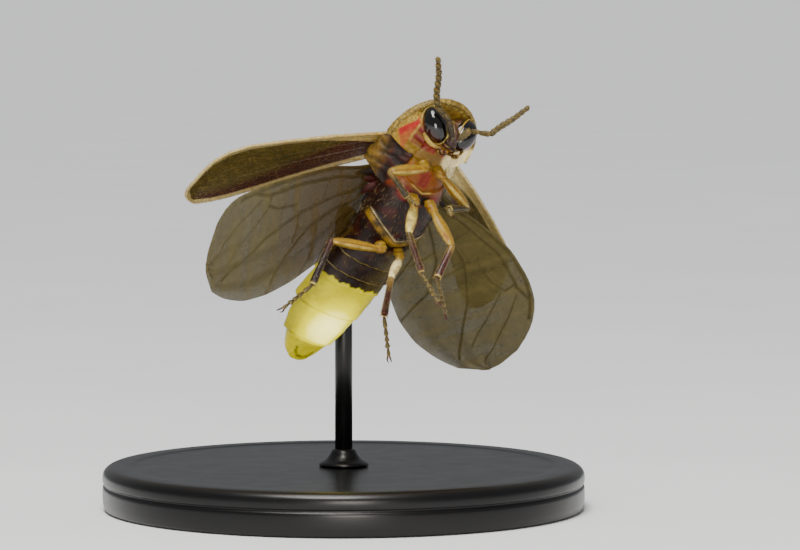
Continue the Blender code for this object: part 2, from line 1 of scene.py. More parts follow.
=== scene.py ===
"""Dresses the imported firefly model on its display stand.

Pieces are modelled in millimetres in the insect's own frame: X to its right,
Y to its head, Z to its back. Each one is then settled into the row frame.
"""

import logging
import math
from collections.abc import Callable, Sequence
from dataclasses import dataclass, field
from enum import Enum

import bmesh
import bpy
import numpy as np
from mathutils import Euler, Matrix, Vector, noise


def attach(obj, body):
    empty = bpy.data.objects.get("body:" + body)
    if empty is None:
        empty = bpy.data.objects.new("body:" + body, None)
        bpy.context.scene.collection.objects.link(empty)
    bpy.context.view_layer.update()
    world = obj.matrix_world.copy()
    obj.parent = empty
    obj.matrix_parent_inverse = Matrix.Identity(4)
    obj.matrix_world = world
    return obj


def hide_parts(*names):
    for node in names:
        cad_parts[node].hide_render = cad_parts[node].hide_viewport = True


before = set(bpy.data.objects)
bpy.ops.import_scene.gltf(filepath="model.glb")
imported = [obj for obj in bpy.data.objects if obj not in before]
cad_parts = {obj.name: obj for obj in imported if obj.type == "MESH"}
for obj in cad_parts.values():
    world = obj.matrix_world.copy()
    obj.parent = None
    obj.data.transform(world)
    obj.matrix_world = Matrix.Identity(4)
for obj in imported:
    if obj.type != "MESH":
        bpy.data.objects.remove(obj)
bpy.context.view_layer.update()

LOG = logging.getLogger("firefly")
MM = 0.001
Triple = tuple[float, float, float]
Points = np.ndarray
Mask = np.ndarray


class Side(Enum):
    """The insect's two sides, with the sign of X on each."""

    RIGHT = 1.0
    LEFT = -1.0

    @property
    def word(self) -> str:
        """The side's name as the nodes spell it."""
        return self.name.lower()

    def point(self, right_hand: Triple) -> Vector:
        """Mirrors a right-hand point or direction to this side."""
        return Vector((right_hand[0] * self.value, right_hand[1], right_hand[2]))


@dataclass(frozen=True)
class InsectFrame:
    """The insect's own frame and its place in the row frame, in millimetres."""

    angles: Triple = (56.7, -18.9, -147.1)
    place: Triple = (2.4979, -3.4622, 14.4)

    def turn(self) -> Matrix:
        """The 3x3 turn from the insect's frame to the row frame."""
        return Euler([math.radians(a) for a in self.angles]).to_matrix()

    def to_row(self) -> Matrix:
        """The matrix from insect millimetres to row metres."""
        place = Matrix.Translation(Vector(self.place) * MM)
        return place @ self.turn().to_4x4() @ Matrix.Scale(MM, 4)


INSECT = InsectFrame()


def rise(values: Mask, start: float, end: float) -> Mask:
    """Steps smoothly from 0 at start to 1 at end.

    Args:
        values: Numbers to read.
        start: Where the step begins.
        end: Where the step is complete; it may lie below start.

    Returns:
        One share from 0 to 1 for each value.
    """
    share = np.clip((values - start) / (end - start), 0.0, 1.0)
    return share * share * (3.0 - 2.0 * share)


def band(values: Mask, centre: float, half_width: float, soft: float) -> Mask:
    """Gives 1 within half_width of centre, fading to 0 over the soft distance."""
    return 1.0 - rise(np.abs(values - centre), half_width, half_width + soft)


def spot(points: Points, centre: Triple, radii: Triple, soft: float = 0.35) -> Mask:
    """Gives 1 inside an ellipsoid, with a border as soft as the share given."""
    reach = np.linalg.norm((points - np.array(centre)) / np.array(radii), axis=1)
    return 1.0 - rise(reach, 1.0 - soft, 1.0 + soft)


def mottle(points: Points, scale: float, shift: float = 0.0) -> Mask:
    """Cloudy numbers from about -1 to 1 that vary over 1/scale millimetres."""
    offset = Vector((shift, shift * 0.7, -shift))
    return np.array([noise.noise(Vector(p) * scale + offset) for p in points])


def oval(centre: Vector, across: Vector, up: Vector, half_across: float, half_up: float,
         count: int, squareness: float = 1.0) -> Points:
    """Lays one closed ring of points.

    Args:
        centre: Middle of the ring.
        across: Unit direction of its width.
        up: Unit direction of its height.
        half_across: Half of its width.
        half_up: Half of its height.
        count: How many points it has.
        squareness: Over 1 fills the corners.

    Returns:
        The ring's points.
    """
    angle = math.tau * (np.arange(count) + 0.5) / count
    c, s = np.cos(angle), np.sin(angle)
    c = np.sign(c) * np.abs(c) ** (1.0 / squareness)
    s = np.sign(s) * np.abs(s) ** (1.0 / squareness)
    return (np.array(centre) + np.outer(c * half_across, np.array(across))
            + np.outer(s * half_up, np.array(up)))


def clear_bench() -> None:
    """Leaves edit mode and deselects everything."""
    if bpy.context.object and bpy.context.object.mode != "OBJECT":
        bpy.ops.object.mode_set(mode="OBJECT")
    bpy.ops.object.select_all(action="DESELECT")


@dataclass
class Piece:
    """One mesh on the bench, in millimetres in the insect's frame."""

    body: bpy.types.Object

    @property
    def mesh(self) -> bpy.types.Mesh:
        """The piece's mesh."""
        return self.body.data

    def points(self) -> Points:
        """The places of all vertices."""
        flat = np.empty(len(self.mesh.vertices) * 3, np.float32)
        self.mesh.vertices.foreach_get("co", flat)
        return flat.reshape(-1, 3).astype(float)

    def normals(self) -> Points:
        """The outward direction at each vertex."""
        flat = np.empty(len(self.mesh.vertices) * 3, np.float32)
        self.mesh.vertex_normals.foreach_get("vector", flat)
        return flat.reshape(-1, 3).astype(float)

    def place(self, points: Points) -> "Piece":
        """Moves every vertex to its new place."""
        self.mesh.vertices.foreach_set("co", np.asarray(points, np.float32).ravel())
        self.mesh.update()
        return self

    def press(self, depth: Mask) -> "Piece":
        """Raises each vertex along its normal by its depth."""
        return self.place(self.points() + self.normals() * depth[:, None])

    def modify(self, kind: str, **settings: object) -> "Piece":
        """Adds one modifier with its settings and applies it."""
        clear_bench()
        bpy.context.view_layer.objects.active = self.body
        self.body.select_set(True)
        modifier = self.body.modifiers.new(kind.lower(), kind)
        for name, value in settings.items():
            setattr(modifier, name, value)
        bpy.ops.object.modifier_apply(modifier=modifier.name)
        return self

    def refine(self, levels: int) -> "Piece":
        """Subdivides the surface smoothly."""
        return self.modify("SUBSURF", levels=levels, render_levels=levels)

    def mark(self, name: str, values: Points) -> "Piece":
        """Writes one number, direction or colour to each vertex as an attribute."""
        values = np.asarray(values, np.float32)
        if values.ndim == 1:
            layer = self.mesh.attributes.new(name, "FLOAT", "POINT")
            layer.data.foreach_set("value", values)
        elif name == "lie":
            layer = self.mesh.attributes.new(name, "FLOAT_VECTOR", "POINT")
            layer.data.foreach_set("vector", values.ravel())
        else:
            rgba = np.column_stack([values, np.ones(len(values), np.float32)])
            layer = self.mesh.attributes.new(name, "FLOAT_COLOR", "POINT")
            layer.data.foreach_set("color", rgba.ravel())
        return self

    def read(self, name: str, width: int) -> Points:
        """Reads an attribute of one or three numbers a vertex."""
        layer = self.mesh.attributes[name]
        flat = np.empty(len(self.mesh.vertices) * width, np.float32)
        layer.data.foreach_get("value" if width == 1 else "vector", flat)
        return flat if width == 1 else flat.reshape(-1, 3)

    def smooth(self) -> "Piece":
        """Shades the piece smoothly."""
        self.mesh.polygons.foreach_set("use_smooth", [True] * len(self.mesh.polygons))
        self.mesh.update()
        return self


def join(name: str, pieces: Sequence[Piece]) -> Piece:
    """Joins pieces into the first one and names it."""
    clear_bench()
    for piece in pieces:
        piece.body.select_set(True)
    bpy.context.view_layer.objects.active = pieces[0].body
    if len(pieces) > 1:
        bpy.ops.object.join()
    pieces[0].body.name = name
    pieces[0].mesh.name = name
    return pieces[0]


def next_loop(piece: bpy.types.Object, loop: Sequence[int]) -> list[int]:
    """Finds the new vertex that each vertex of a loop was extruded to."""
    mesh = bmesh.from_edit_mesh(piece.data)
    mesh.verts.index_update()
    mesh.verts.ensure_lookup_table()
    result = []
    for index in loop:
        for edge in mesh.verts[index].link_edges:
            other = edge.other_vert(mesh.verts[index])
            if other.select:
                result.append(other.index)
                break
    return result


def lay_loop(piece: bpy.types.Object, loop: Sequence[int], ring: Points) -> None:
    """Moves the vertices of a loop onto a ring."""
    mesh = bmesh.from_edit_mesh(piece.data)
    mesh.verts.ensure_lookup_table()
    for index, point in zip(loop, ring):
        mesh.verts[index].co = point


def skin_rings(name: str, rings: Sequence[Points]) -> Piece:
    """Extrudes a circle from ring to ring and closes both ends.

    Args:
        name: Name of the new piece.
        rings: Rings of equal count, in order along the piece.

    Returns:
        A closed piece with its normals outward.
    """
    clear_bench()
    bpy.ops.mesh.primitive_circle_add(vertices=len(rings[0]), radius=1.0)
    body = bpy.context.object
    body.name = name
    bpy.ops.object.mode_set(mode="EDIT")
    first = list(range(len(rings[0])))
    lay_loop(body, first, rings[0])
    bpy.ops.mesh.select_all(action="SELECT")
    bpy.ops.mesh.edge_face_add()
    loop = first
    for ring in rings[1:]:
        bpy.ops.mesh.extrude_region_move()
        loop = next_loop(body, loop)
        lay_loop(body, loop, ring)
    bpy.ops.mesh.select_all(action="SELECT")
    bpy.ops.mesh.normals_make_consistent(inside=False)
    bpy.ops.object.mode_set(mode="OBJECT")
    return Piece(body)


def skin_path(name: str, path: Sequence[Vector], radii: Sequence[float], count: int = 12,
              flatness: float = 1.0, flat_axis: Triple = (0.0, 0.0, 1.0)) -> Piece:
    """Skins ovals along a path.

    Args:
        name: Name of the new piece.
        path: Points along its middle.
        radii: One radius at each point.
        count: Points in each oval.
        flatness: Height of the ovals as a share of their width.
        flat_axis: Direction that the flatness thins.

    Returns:
        A closed piece.
    """
    spine = [Vector(p) for p in path]
    reference = Vector(flat_axis).normalized()
    rings = []
    for i, point in enumerate(spine):
        along = (spine[min(i + 1, len(spine) - 1)] - spine[max(i - 1, 0)]).normalized()
        across = along.cross(reference).normalized()
        reference = across.cross(along).normalized()
        rings.append(oval(point, across, reference, radii[i], radii[i] * flatness, count))
    return skin_rings(name, rings)


def skin_grid(name: str, columns: int, rows: int, surface: Callable[[Mask, Mask], Points]) -> Piece:
    """Adds a grid and lays it on a surface.

    Args:
        name: Name of the new piece.
        columns: Faces along the first share.
        rows: Faces along the second share.
        surface: Gives points from two shares from 0 to 1.

    Returns:
        An open sheet that keeps its two shares as attributes.
    """
    clear_bench()
    bpy.ops.mesh.primitive_grid_add(x_subdivisions=columns, y_subdivisions=rows, size=2.0)
    piece = Piece(bpy.context.object)
    piece.body.name = name
    flat = piece.points()
    first, second = (flat[:, 0] + 1.0) / 2.0, (flat[:, 1] + 1.0) / 2.0
    piece.mark("span_share", first)
    piece.mark("chord_share", second)
    return piece.place(surface(first, second))


def ball(name: str, centre: Triple, radii: Triple, segments: int = 24, rings: int = 16) -> Piece:
    """Adds a sphere and stretches it in edit mode, as the start of a rounded piece."""
    clear_bench()
    bpy.ops.mesh.primitive_uv_sphere_add(segments=segments, ring_count=rings, radius=1.0)
    piece = Piece(bpy.context.object)
    piece.body.name = name
    bpy.ops.object.mode_set(mode="EDIT")
    bpy.ops.mesh.select_all(action="SELECT")
    bpy.ops.transform.resize(value=tuple(radii))
    bpy.ops.transform.translate(value=tuple(centre))
    bpy.ops.object.mode_set(mode="OBJECT")
    return piece


class Tone(Enum):
    """Named colours of the insect, as linear red, green and blue."""

    GOLD = (0.31, 0.178, 0.010)
    TAN = (0.25, 0.150, 0.020)
    AMBER = (0.30, 0.120, 0.005)
    PALE = (0.60, 0.455, 0.115)
    CREAM = (0.82, 0.68, 0.32)
    OLIVE = (0.085, 0.060, 0.010)
    OLIVE_DARK = (0.030, 0.022, 0.005)
    UMBER = (0.013, 0.005, 0.003)
    MAROON = (0.050, 0.006, 0.003)
    CRIMSON = (0.20, 0.004, 0.003)
    SCARLET = (0.36, 0.007, 0.002)
    ORANGE = (0.36, 0.070, 0.006)
    RUST = (0.19, 0.030, 0.004)
    BLACK = (0.003, 0.0025, 0.0025)
    LEMON = (0.30, 0.25, 0.0)
    SMOKE = (0.115, 0.092, 0.032)
    SMOKE_BROWN = (0.070, 0.042, 0.009)
    HAIR = (0.34, 0.23, 0.065)


@dataclass
class Paint:
    """Coats of colour on one piece, one colour a vertex."""

    count: int
    ground: Tone

    def __post_init__(self) -> None:
        """Starts from the ground tone all over."""
        self.coats = np.tile(np.array(self.ground.value), (self.count, 1))

    def lay(self, tone: Tone, mask: Mask) -> "Paint":
        """Lays a tone over what is there, as far as the mask says."""
        self.coats += (np.array(tone.value) - self.coats) * np.clip(mask, 0.0, 1.0)[:, None]
        return self

    def shade(self, factor: Mask) -> "Paint":
        """Darkens or lightens by a factor a vertex."""
        self.coats *= factor[:, None]
        return self


class Shader:
    """A material under construction, with its Principled shader."""

    def __init__(self, name: str) -> None:
        """Starts a node material of that name."""
        self.material = bpy.data.materials.new(name)
        self.material.use_nodes = True
        self.tree = self.material.node_tree
        self.principled = self.tree.nodes["Principled BSDF"]

    def node(self, kind: str, **settings: object) -> bpy.types.Node:
        """Adds one node; names of inputs are given with spaces as underscores."""
        made = self.tree.nodes.new(kind)
        for name, value in settings.items():
            if hasattr(made, name):
                setattr(made, name, value)
            else:
                made.inputs[name.replace("_", " ")].default_value = value
        return made

    def link(self, output: bpy.types.NodeSocket, target: bpy.types.NodeSocket) -> None:
        """Joins an output to an input."""
        self.tree.links.new(output, target)

    def set(self, **values: object) -> None:
        """Sets constants on the shader's own sockets."""
        for name, value in values.items():
            self.principled.inputs[name.replace("_", " ")].default_value = value

    def insect_place(self) -> bpy.types.NodeSocket:
        """Object coordinates turned into the insect's frame, in millimetres."""
        back = INSECT.turn().transposed()
        mapping = self.node("ShaderNodeMapping")
        mapping.inputs["Location"].default_value = -(back @ Vector(INSECT.place))
        mapping.inputs["Rotation"].default_value = back.to_euler()
        mapping.inputs["Scale"].default_value = (1.0 / MM, 1.0 / MM, 1.0 / MM)
        source = self.node("ShaderNodeTexCoord")
        self.link(source.outputs["Object"], mapping.inputs["Vector"])
        return mapping.outputs["Vector"]

    def cloud(self, place: bpy.types.NodeSocket, scale: float, low: float, high: float,
              detail: float = 4.0) -> bpy.types.NodeSocket:
        """A noise mapped from low to high."""
        cloud = self.node("ShaderNodeTexNoise", Scale=scale, Detail=detail)
        self.link(place, cloud.inputs["Vector"])
        spread = self.node("ShaderNodeMapRange")
        spread.inputs["From Min"].default_value = 0.3
        spread.inputs["From Max"].default_value = 0.7
        spread.inputs["To Min"].default_value = low
        spread.inputs["To Max"].default_value = high
        self.link(cloud.outputs["Fac"], spread.inputs["Value"])
        return spread.outputs["Result"]


@dataclass(frozen=True)
class Cuticle:
    """Horny skin: painted markings, fine grain, small pits and a soft gloss."""

    name: str
    roughness: float = 0.4
    roughness_spread: float = 0.1
    mottling: float = 0.25
    mottle_scale: float = 5.0
    grain_scale: float = 26.0
    grain_depth: float = 0.012
    pit_scale: float = 14.0
    pit_depth: float = 0.0
    coat: float = 0.0
    coat_roughness: float = 0.15
    sheen: float = 0.0
    subsurface: float = 0.0
    specular: float = 0.35
    glows: bool = False
    veiled: bool = False

    def material(self) -> bpy.types.Material:
        """Builds the material, once for each name."""
        found = bpy.data.materials.get(self.name)
        if found:
            return found
        shader = Shader(self.name)
        place = shader.insect_place()
        self.dress_colour(shader, place)
        self.dress_relief(shader, place)
        shader.set(Coat_Weight=self.coat, Coat_Roughness=self.coat_roughness,
                   Sheen_Weight=self.sheen, Specular_IOR_Level=self.specular)
        if self.subsurface:
            shader.set(Subsurface_Weight=self.subsurface, Subsurface_Scale=0.12 * MM)
        if self.glows:
            self.dress_glow(shader)
        if self.veiled:
            veil = shader.node("ShaderNodeAttribute", attribute_name="veil")
            shader.link(veil.outputs["Fac"], shader.principled.inputs["Alpha"])
        return shader.material

    def dress_colour(self, shader: Shader, place: bpy.types.NodeSocket) -> None:
        """Markings from the tint attribute, broken up by cloudy light and dark."""
        tint = shader.node("ShaderNodeAttribute", attribute_name="tint")
        lighten = shader.node("ShaderNodeHueSaturation")
        shader.link(tint.outputs["Color"], lighten.inputs["Color"])
        value = shader.cloud(place, self.mottle_scale, 1.0 - self.mottling, 1.0 + self.mottling, 6.0)
        shader.link(value, lighten.inputs["Value"])
        shader.link(lighten.outputs["Color"], shader.principled.inputs["Base Color"])

    def dress_relief(self, shader: Shader, place: bpy.types.NodeSocket) -> None:
        """Uneven gloss, fine grain and, where asked for, small pits."""
        low, high = self.roughness - self.roughness_spread, self.roughness + self.roughness_spread
        rough = shader.cloud(place, self.mottle_scale * 2.3, low, high)
        shader.link(rough, shader.principled.inputs["Roughness"])
        grain = shader.node("ShaderNodeTexNoise", Scale=self.grain_scale, Detail=5.0)
        shader.link(place, grain.inputs["Vector"])
        bump = shader.node("ShaderNodeBump", Strength=1.0, Distance=self.grain_depth * MM)
        shader.link(grain.outputs["Fac"], bump.inputs["Height"])
        if self.pit_depth:
            cells = shader.node("ShaderNodeTexVoronoi", Scale=self.pit_scale)
            shader.link(place, cells.inputs["Vector"])
            pits = shader.node("ShaderNodeBump", Strength=1.0, Distance=self.pit_depth * MM)
            shader.link(cells.outputs["Distance"], pits.inputs["Height"])
            shader.link(bump.outputs["Normal"], pits.inputs["Normal"])
            bump = pits
        shader.link(bump.outputs["Normal"], shader.principled.inputs["Normal"])

    def dress_glow(self, shader: Shader) -> None:
        """Light from within, yellow where weak and nearly white where strong."""
        glow = shader.node("ShaderNodeAttribute", attribute_name="glow")
        ramp = shader.node("ShaderNodeValToRGB")
        stops = ((0.0, (0.0, 0.0, 0.0)), (0.25, (0.03, 0.027, 0.0)), (0.5, (0.19, 0.165, 0.0)),
                 (0.75, (0.45, 0.40, 0.0)), (1.0, (1.0, 0.95, 0.30)))
        while len(ramp.color_ramp.elements) < len(stops):
            ramp.color_ramp.elements.new(0.5)
        for element, (place, colour) in zip(ramp.color_ramp.elements, stops):
            element.position = place
            element.color = (*colour, 1.0)
        shader.link(glow.outputs["Fac"], ramp.inputs["Fac"])
        shader.link(ramp.outputs["Color"], shader.principled.inputs["Emission Color"])
        shader.set(Emission_Strength=3.0)


def settle(piece: Piece, name: str, finish: Cuticle, nodes: Sequence[str] = (),
           in_row: bool = False) -> Piece:
    """Args:
        piece: The piece, in the insect's frame.
        name: Its final name.
        finish: Its finish.
        nodes: CAD nodes that it stands for.
        in_row: True where it was modelled in row millimetres.

    Returns:
        The same piece.
    """
    body = piece.body
    piece.mesh.transform(Matrix.Scale(MM, 4) if in_row else INSECT.to_row())
    piece.mesh.materials.clear()
    piece.mesh.materials.append(finish.material())
    piece.smooth()
    body.name = name
    piece.mesh.name = name
    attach(body, "root")
    if nodes:
        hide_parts(*nodes)
    LOG.info("%s: %d faces", name, len(piece.mesh.polygons))
    return piece


@dataclass
class Trunk:
    """The body from the neck to the tail tip, in one unbroken skin.

    Each station: place along the body, half width, underside, back.
    """

    stations: tuple[tuple[float, float, float, float], ...] = (
        (3.62, 0.50, -0.62, 0.05), (3.35, 0.70, -0.68, 0.18), (3.00, 0.84, -0.66, 0.25),
        (2.72, 1.03, -0.74, 0.33), (2.40, 1.08, -0.80, 0.36), (2.12, 1.08, -0.88, 0.45),
        (1.60, 1.32, -1.15, 0.60), (0.90, 1.50, -1.50, 0.70), (0.00, 1.58, -1.76, 0.72),
        (-0.90, 1.56, -1.80, 0.66), (-1.40, 1.50, -1.70, 0.60), (-1.85, 1.42, -1.55, 0.54),
        (-2.15, 1.44, -1.48, 0.52), (-3.20, 1.58, -1.52, 0.46), (-4.25, 1.66, -1.47, 0.40),
        (-5.20, 1.68, -1.42, 0.34), (-6.10, 1.60, -1.34, 0.24), (-6.95, 1.42, -1.26, 0.10),
        (-7.72, 1.14, -1.17, -0.04), (-8.15, 0.95, -1.11, -0.14), (-8.60, 0.74, -1.02, -0.28),
        (-8.85, 0.50, -0.92, -0.40), (-8.97, 0.20, -0.78, -0.55),
    )
    rings_per_mm: float = 7.0
    ring_sides: int = 48
    squareness: float = 1.1
    sternite_rims: tuple[float, ...] = (-1.95, -3.02, -3.84, -4.50)
    lantern_rims: tuple[float, ...] = (-4.50, -6.02, -7.70)
    lantern_front: float = -4.24
    rim_rise: float = 0.07
    bend_span: tuple[float, float] = (-2.0, -6.5)
    bend: float = 0.3
    glow_sides: float = 0.2

    def section(self, places: Mask) -> Points:
        """Half width, underside and back at places along the body."""
        table = np.array(sorted(self.stations))
        reach = 0.14
        low, high = table[0, 0], table[-1, 0]
        reads = []
        for shift in (-reach, 0.0, reach):
            at = np.clip(places + shift, low, high)
            reads.append(np.stack([np.interp(at, table[:, 0], table[:, k]) for k in (1, 2, 3)], 1))
        return 0.25 * reads[0] + 0.5 * reads[1] + 0.25 * reads[2]

    def middle(self, places: Mask) -> Mask:
        """How far the body's middle line leans to its right."""
        return self.bend * rise(places, *self.bend_span)

    def shape(self) -> Piece:
        """Skins the stations, refines them and raises the plates."""
        first, last = self.stations[0][0], self.stations[-1][0]
        count = int((first - last) * self.rings_per_mm)
        places = np.linspace(first, last, count)
        rings = []
        for place, (half, under, back) in zip(places, self.section(places)):
            centre = Vector((float(self.middle(np.array(place))), place, 0.5 * (under + back)))
            rings.append(oval(centre, Vector((1, 0, 0)), Vector((0, 0, 1)), half,
                              0.5 * (back - under), self.ring_sides, self.squareness))
        trunk = skin_rings("body_skin", rings).refine(2)
        return trunk.press(self.plates(trunk.points()))

    def lay_of(self, points: Points) -> tuple[Mask, Mask, Mask]:
        """Where points lie on the body.

        Args:
            points: Points on the skin.

        Returns:
            Distance from the middle line, -1 back to 1 underside, 0 middle to 1 flank.
        """
        half, under, back = self.section(points[:, 1]).T
        across = points[:, 0] - self.middle(points[:, 1])
        low = (0.5 * (under + back) - points[:, 2]) / (0.5 * (back - under))
        return across, low, np.abs(across) / half

    def steps_of(self, places: Mask, rims: Sequence[float]) -> Mask:
        """A row of tiles, each rising to its rear rim and dropping there."""
        height = np.zeros(len(places))
        for front, rear in zip(rims, rims[1:]):
            share = (places - front) / (rear - front)
            inside = (share >= 0.0) & (share <= 1.0)
            tile = np.clip(share, 0, 1) ** 1.4 * (1.0 - rise(share, 0.955, 1.0))
            height += np.where(inside, tile, 0.0)
        return height

    def seam(self, across: Mask, at_middle: float, slope: float) -> Mask:
        """Places along a V-shaped seam of the breast."""
        return at_middle + slope * np.abs(across)

    def plates(self, points: Points) -> Mask:
        """How far each point of the skin stands proud of the plain form."""
        places = points[:, 1]
        across, low, flank = self.lay_of(points)
        tiles = self.steps_of(places, self.sternite_rims) + self.steps_of(places, self.lantern_rims)
        depth = self.rim_rise * tiles * (0.55 + 0.45 * rise(low, -0.5, 0.4))
        depth += 0.11 * tiles * band(low, -0.12, 0.16, 0.22) * rise(flank, 0.7, 0.95)
        tail = rise(places, -7.70, -7.95)
        depth += 0.05 * tail * rise(low, 0.2, 0.7) * band(across, 0.0, 0.42, 0.14)
        breast = rise(places, -1.35, -1.15) * rise(places, 1.1, 0.8) * rise(low, 0.1, 0.6)
        depth -= 0.07 * breast * band(across, 0.0, 0.02, 0.07)
        rear_edge = places - self.seam(across, -1.30, 0.50)
        depth += 0.07 * band(rear_edge, 0.03, 0.03, 0.05) * rise(low, 0.2, 0.5)
        depth -= 0.06 * band(rear_edge, -0.08, 0.02, 0.06) * rise(low, 0.2, 0.5)
        depth += 0.03 * band(rear_edge, -0.27, 0.13, 0.10) * rise(low, 0.2, 0.5)
        front_edge = places - self.seam(across, 1.18, 0.28)
        depth += 0.05 * band(front_edge, 0.0, 0.03, 0.05) * rise(low, 0.0, 0.3)
        depth -= 0.05 * band(front_edge, 0.12, 0.03, 0.06) * rise(low, 0.0, 0.3)
        pleural = points[:, 2] + 0.45 - 0.25 * (places - 0.2)
        depth -= 0.05 * band(pleural, 0.0, 0.02, 0.06) * rise(places, -1.7, -1.4) * rise(flank, 0.6, 0.8)
        depth -= 0.06 * band(places, 2.28, 0.03, 0.10)
        folds = np.sin(places * 22.0 + across * 2.0)
        depth += 0.02 * folds * rise(places, 2.85, 3.0) * rise(low, -0.2, 0.2)
        depth += 0.16 * band(places, 1.30, 0.42, 0.25) * rise(low, -0.55, -0.85) * band(across, 0, 0.38, 0.2)
        back = rise(low, -0.5, -0.8) * rise(places, -1.95, -1.7) * rise(places, 0.9, 0.6)
        depth -= 0.09 * back * band(across, 0.0, 0.03, 0.14)
        depth -= 0.06 * back * band(places - 0.35 * np.abs(across), -0.75, 0.02, 0.10)
        depth += 0.02 * mottle(points, 3.0, 5.0) * (1 - tail)
        return depth

    def paint(self, trunk: Piece) -> None:
        """Lays the markings, the light and the down of the skin."""
        points = trunk.points()
        places = points[:, 1]
        across, low, flank = self.lay_of(points)
        blotch = mottle(points, 2.2, 1.0)
        fine = mottle(points, 7.0, 9.0)
        under = rise(low, -0.15, 0.15)
        paint = Paint(len(points), Tone.UMBER)
        paint.lay(Tone.MAROON, 0.7 * rise(blotch, -0.1, 0.5) * rise(places, -4.3, -1.0))
        self.paint_breast(paint, points, across, low, flank, blotch)
        self.paint_belly(paint, places, across, low, flank, blotch)
        lantern = self.lantern_mask(points, across, low)
        paint.lay(Tone.LEMON, lantern)
        tail = rise(places, -7.72, -7.86)
        lobe = band(np.hypot(across / 0.46, (places + 8.05) / 0.62), 1.0, 0.04, 0.20)
        lobe *= rise(places, -8.05, -8.25) * (0.6 + 0.6 * fine) * under
        paint.lay(Tone.OLIVE, tail * (0.75 - 0.55 * under + 0.55 * lobe + 0.3 * rise(fine, 0.1, 0.5)))
        paint.shade(1.0 + 0.12 * fine)
        trunk.mark("tint", paint.coats)
        trunk.mark("glow", self.light(points, across, low, flank, lantern, tail, lobe))
        breast = rise(places, -1.6, -1.0) * rise(places, 1.9, 1.3)
        hairy = (0.06 + 0.22 * breast + 0.3 * rise(low, 0.1, -0.6)) * rise(places, 3.0, 2.6)
        trunk.mark("down", hairy * (1 - lantern) * rise(places, -4.4, -4.2))
        trunk.mark("lie", np.tile((0.0, -1.0, 0.0), (len(points), 1)))

    def paint_breast(self, paint: Paint, points: Points, across: Mask, low: Mask, flank: Mask,
                     blotch: Mask) -> None:
        """Amber, crimson and dark plates from the neck to the hind leg bases, with painted shade on the fore
        breast.
        """
        places = points[:, 1]
        paint.lay(Tone.AMBER, rise(places, 1.05, 1.35) * (0.75 + 0.25 * blotch))
        streaks = 0.75 + 0.25 * np.sin(places * 9.0 + across * 26.0)
        paint.lay(Tone.RUST, band(places, 1.62, 0.38, 0.22) * rise(low, -0.1, 0.4) * 0.5)
        paint.lay(Tone.CRIMSON, band(places, 1.72, 0.22, 0.2) * band(across, 0.12, 0.18, 0.2) * streaks)
        paint.lay(Tone.GOLD, band(places, 2.55, 0.24, 0.2) * (0.6 + 0.3 * blotch))
        # Painted shade: the golden underside of the fore breast, by the fore legs, is darkened.
        paint.shade(1.0 - 0.35 * band(places, 2.55, 0.30, 0.2) * rise(low, 0.0, 0.4))
        paint.lay(Tone.CRIMSON, rise(places, 2.80, 2.92) * rise(flank, 0.1, 0.3) * streaks)
        left = rise(across, -0.25, -0.55) * rise(places, 1.9, 2.2) * rise(places, 3.4, 3.2)
        paint.lay(Tone.CREAM, left * rise(low, -0.3, 0.0))
        front_edge = places - self.seam(across, 1.18, 0.28)
        worn = 0.35 + 0.5 * rise(blotch, -0.3, 0.3)
        paint.lay(Tone.PALE, band(front_edge, 0.02, 0.012, 0.03) * band(across, 0.1, 0.4, 0.3) * worn)
        for side in Side:
            centre = tuple(side.point((0.80, 0.92, -1.45)))
            paint.lay(Tone.CRIMSON, 0.9 * spot(points, centre, (0.34, 0.32, 0.5)))
            groove = tuple(side.point((1.30, 1.15, -0.70)))
            paint.lay(Tone.RUST, 0.6 * spot(points, groove, (0.4, 0.4, 0.5)))
        rear_edge = places - self.seam(across, -1.30, 0.50)
        hind = band(rear_edge, -0.25, 0.11, 0.10) * rise(low, -0.1, 0.3)
        paint.lay(Tone.GOLD, hind * (0.45 + 0.9 * blotch))
        paint.lay(Tone.CREAM, band(rear_edge, 0.0, 0.015, 0.03) * rise(low, 0.1, 0.4) * worn)
        back = rise(low, -0.2, -0.6) * rise(places, -1.9, -1.7)
        paint.lay(Tone.TAN, back * (0.35 + 0.3 * band(across, 0.0, 0.5, 0.3) + 0.3 * blotch))
        seams = band(across, 0.0, 0.03, 0.16) * rise(places, 0.9, 0.6)
        seams = np.maximum(seams, band(places - 0.35 * np.abs(across), -0.75, 0.03, 0.18))
        scutellum = band(across / np.clip((places - 0.6) / 1.2, 0.05, 1.0), 0.0, 0.36, 0.12)
        seams = np.maximum(seams, scutellum * band(places, 1.35, 0.55, 0.1))
        paint.lay(Tone.UMBER, 0.8 * back * seams)

    def paint_belly(self, paint: Paint, places: Mask, across: Mask, low: Mask, flank: Mask,
                    blotch: Mask) -> None:
        """Dark belly plates with thin pale rims and olive left flanks."""
        belly = rise(places, -1.9, -2.05) * rise(places, -4.5, -4.4)
        olive = belly * rise(across, 0.15, -0.9) * rise(low, -0.2, 0.1)
        paint.lay(Tone.OLIVE, olive * (0.75 + 0.4 * blotch))
        paint.lay(Tone.OLIVE, belly * 0.30 * rise(blotch, 0.1, 0.6))
        for rim in self.sternite_rims[1:3]:
            wave = 0.015 * np.sin(across * 11.0)
            line = band(places - rim + wave, 0.035, 0.006, 0.024) * rise(low, -0.3, 0)
            paint.lay(Tone.PALE, line * (0.45 + 0.35 * rise(blotch, -0.3, 0.3)))
        flanks = belly * band(low, -0.12, 0.08, 0.1)
        paint.lay(Tone.TAN, 0.3 * flanks)
        back = rise(low, -0.25, -0.5) * rise(places, -1.95, -2.1)
        paint.lay(Tone.OLIVE_DARK, back)
        paint.lay(Tone.RUST, 0.6 * back * rise(flank, 0.55, 0.9))
        for rim in (-3.02, -3.84, -4.5, -6.02, -7.7):
            paint.lay(Tone.TAN, 0.8 * back * band(places, rim + 0.04, 0.03, 0.04))

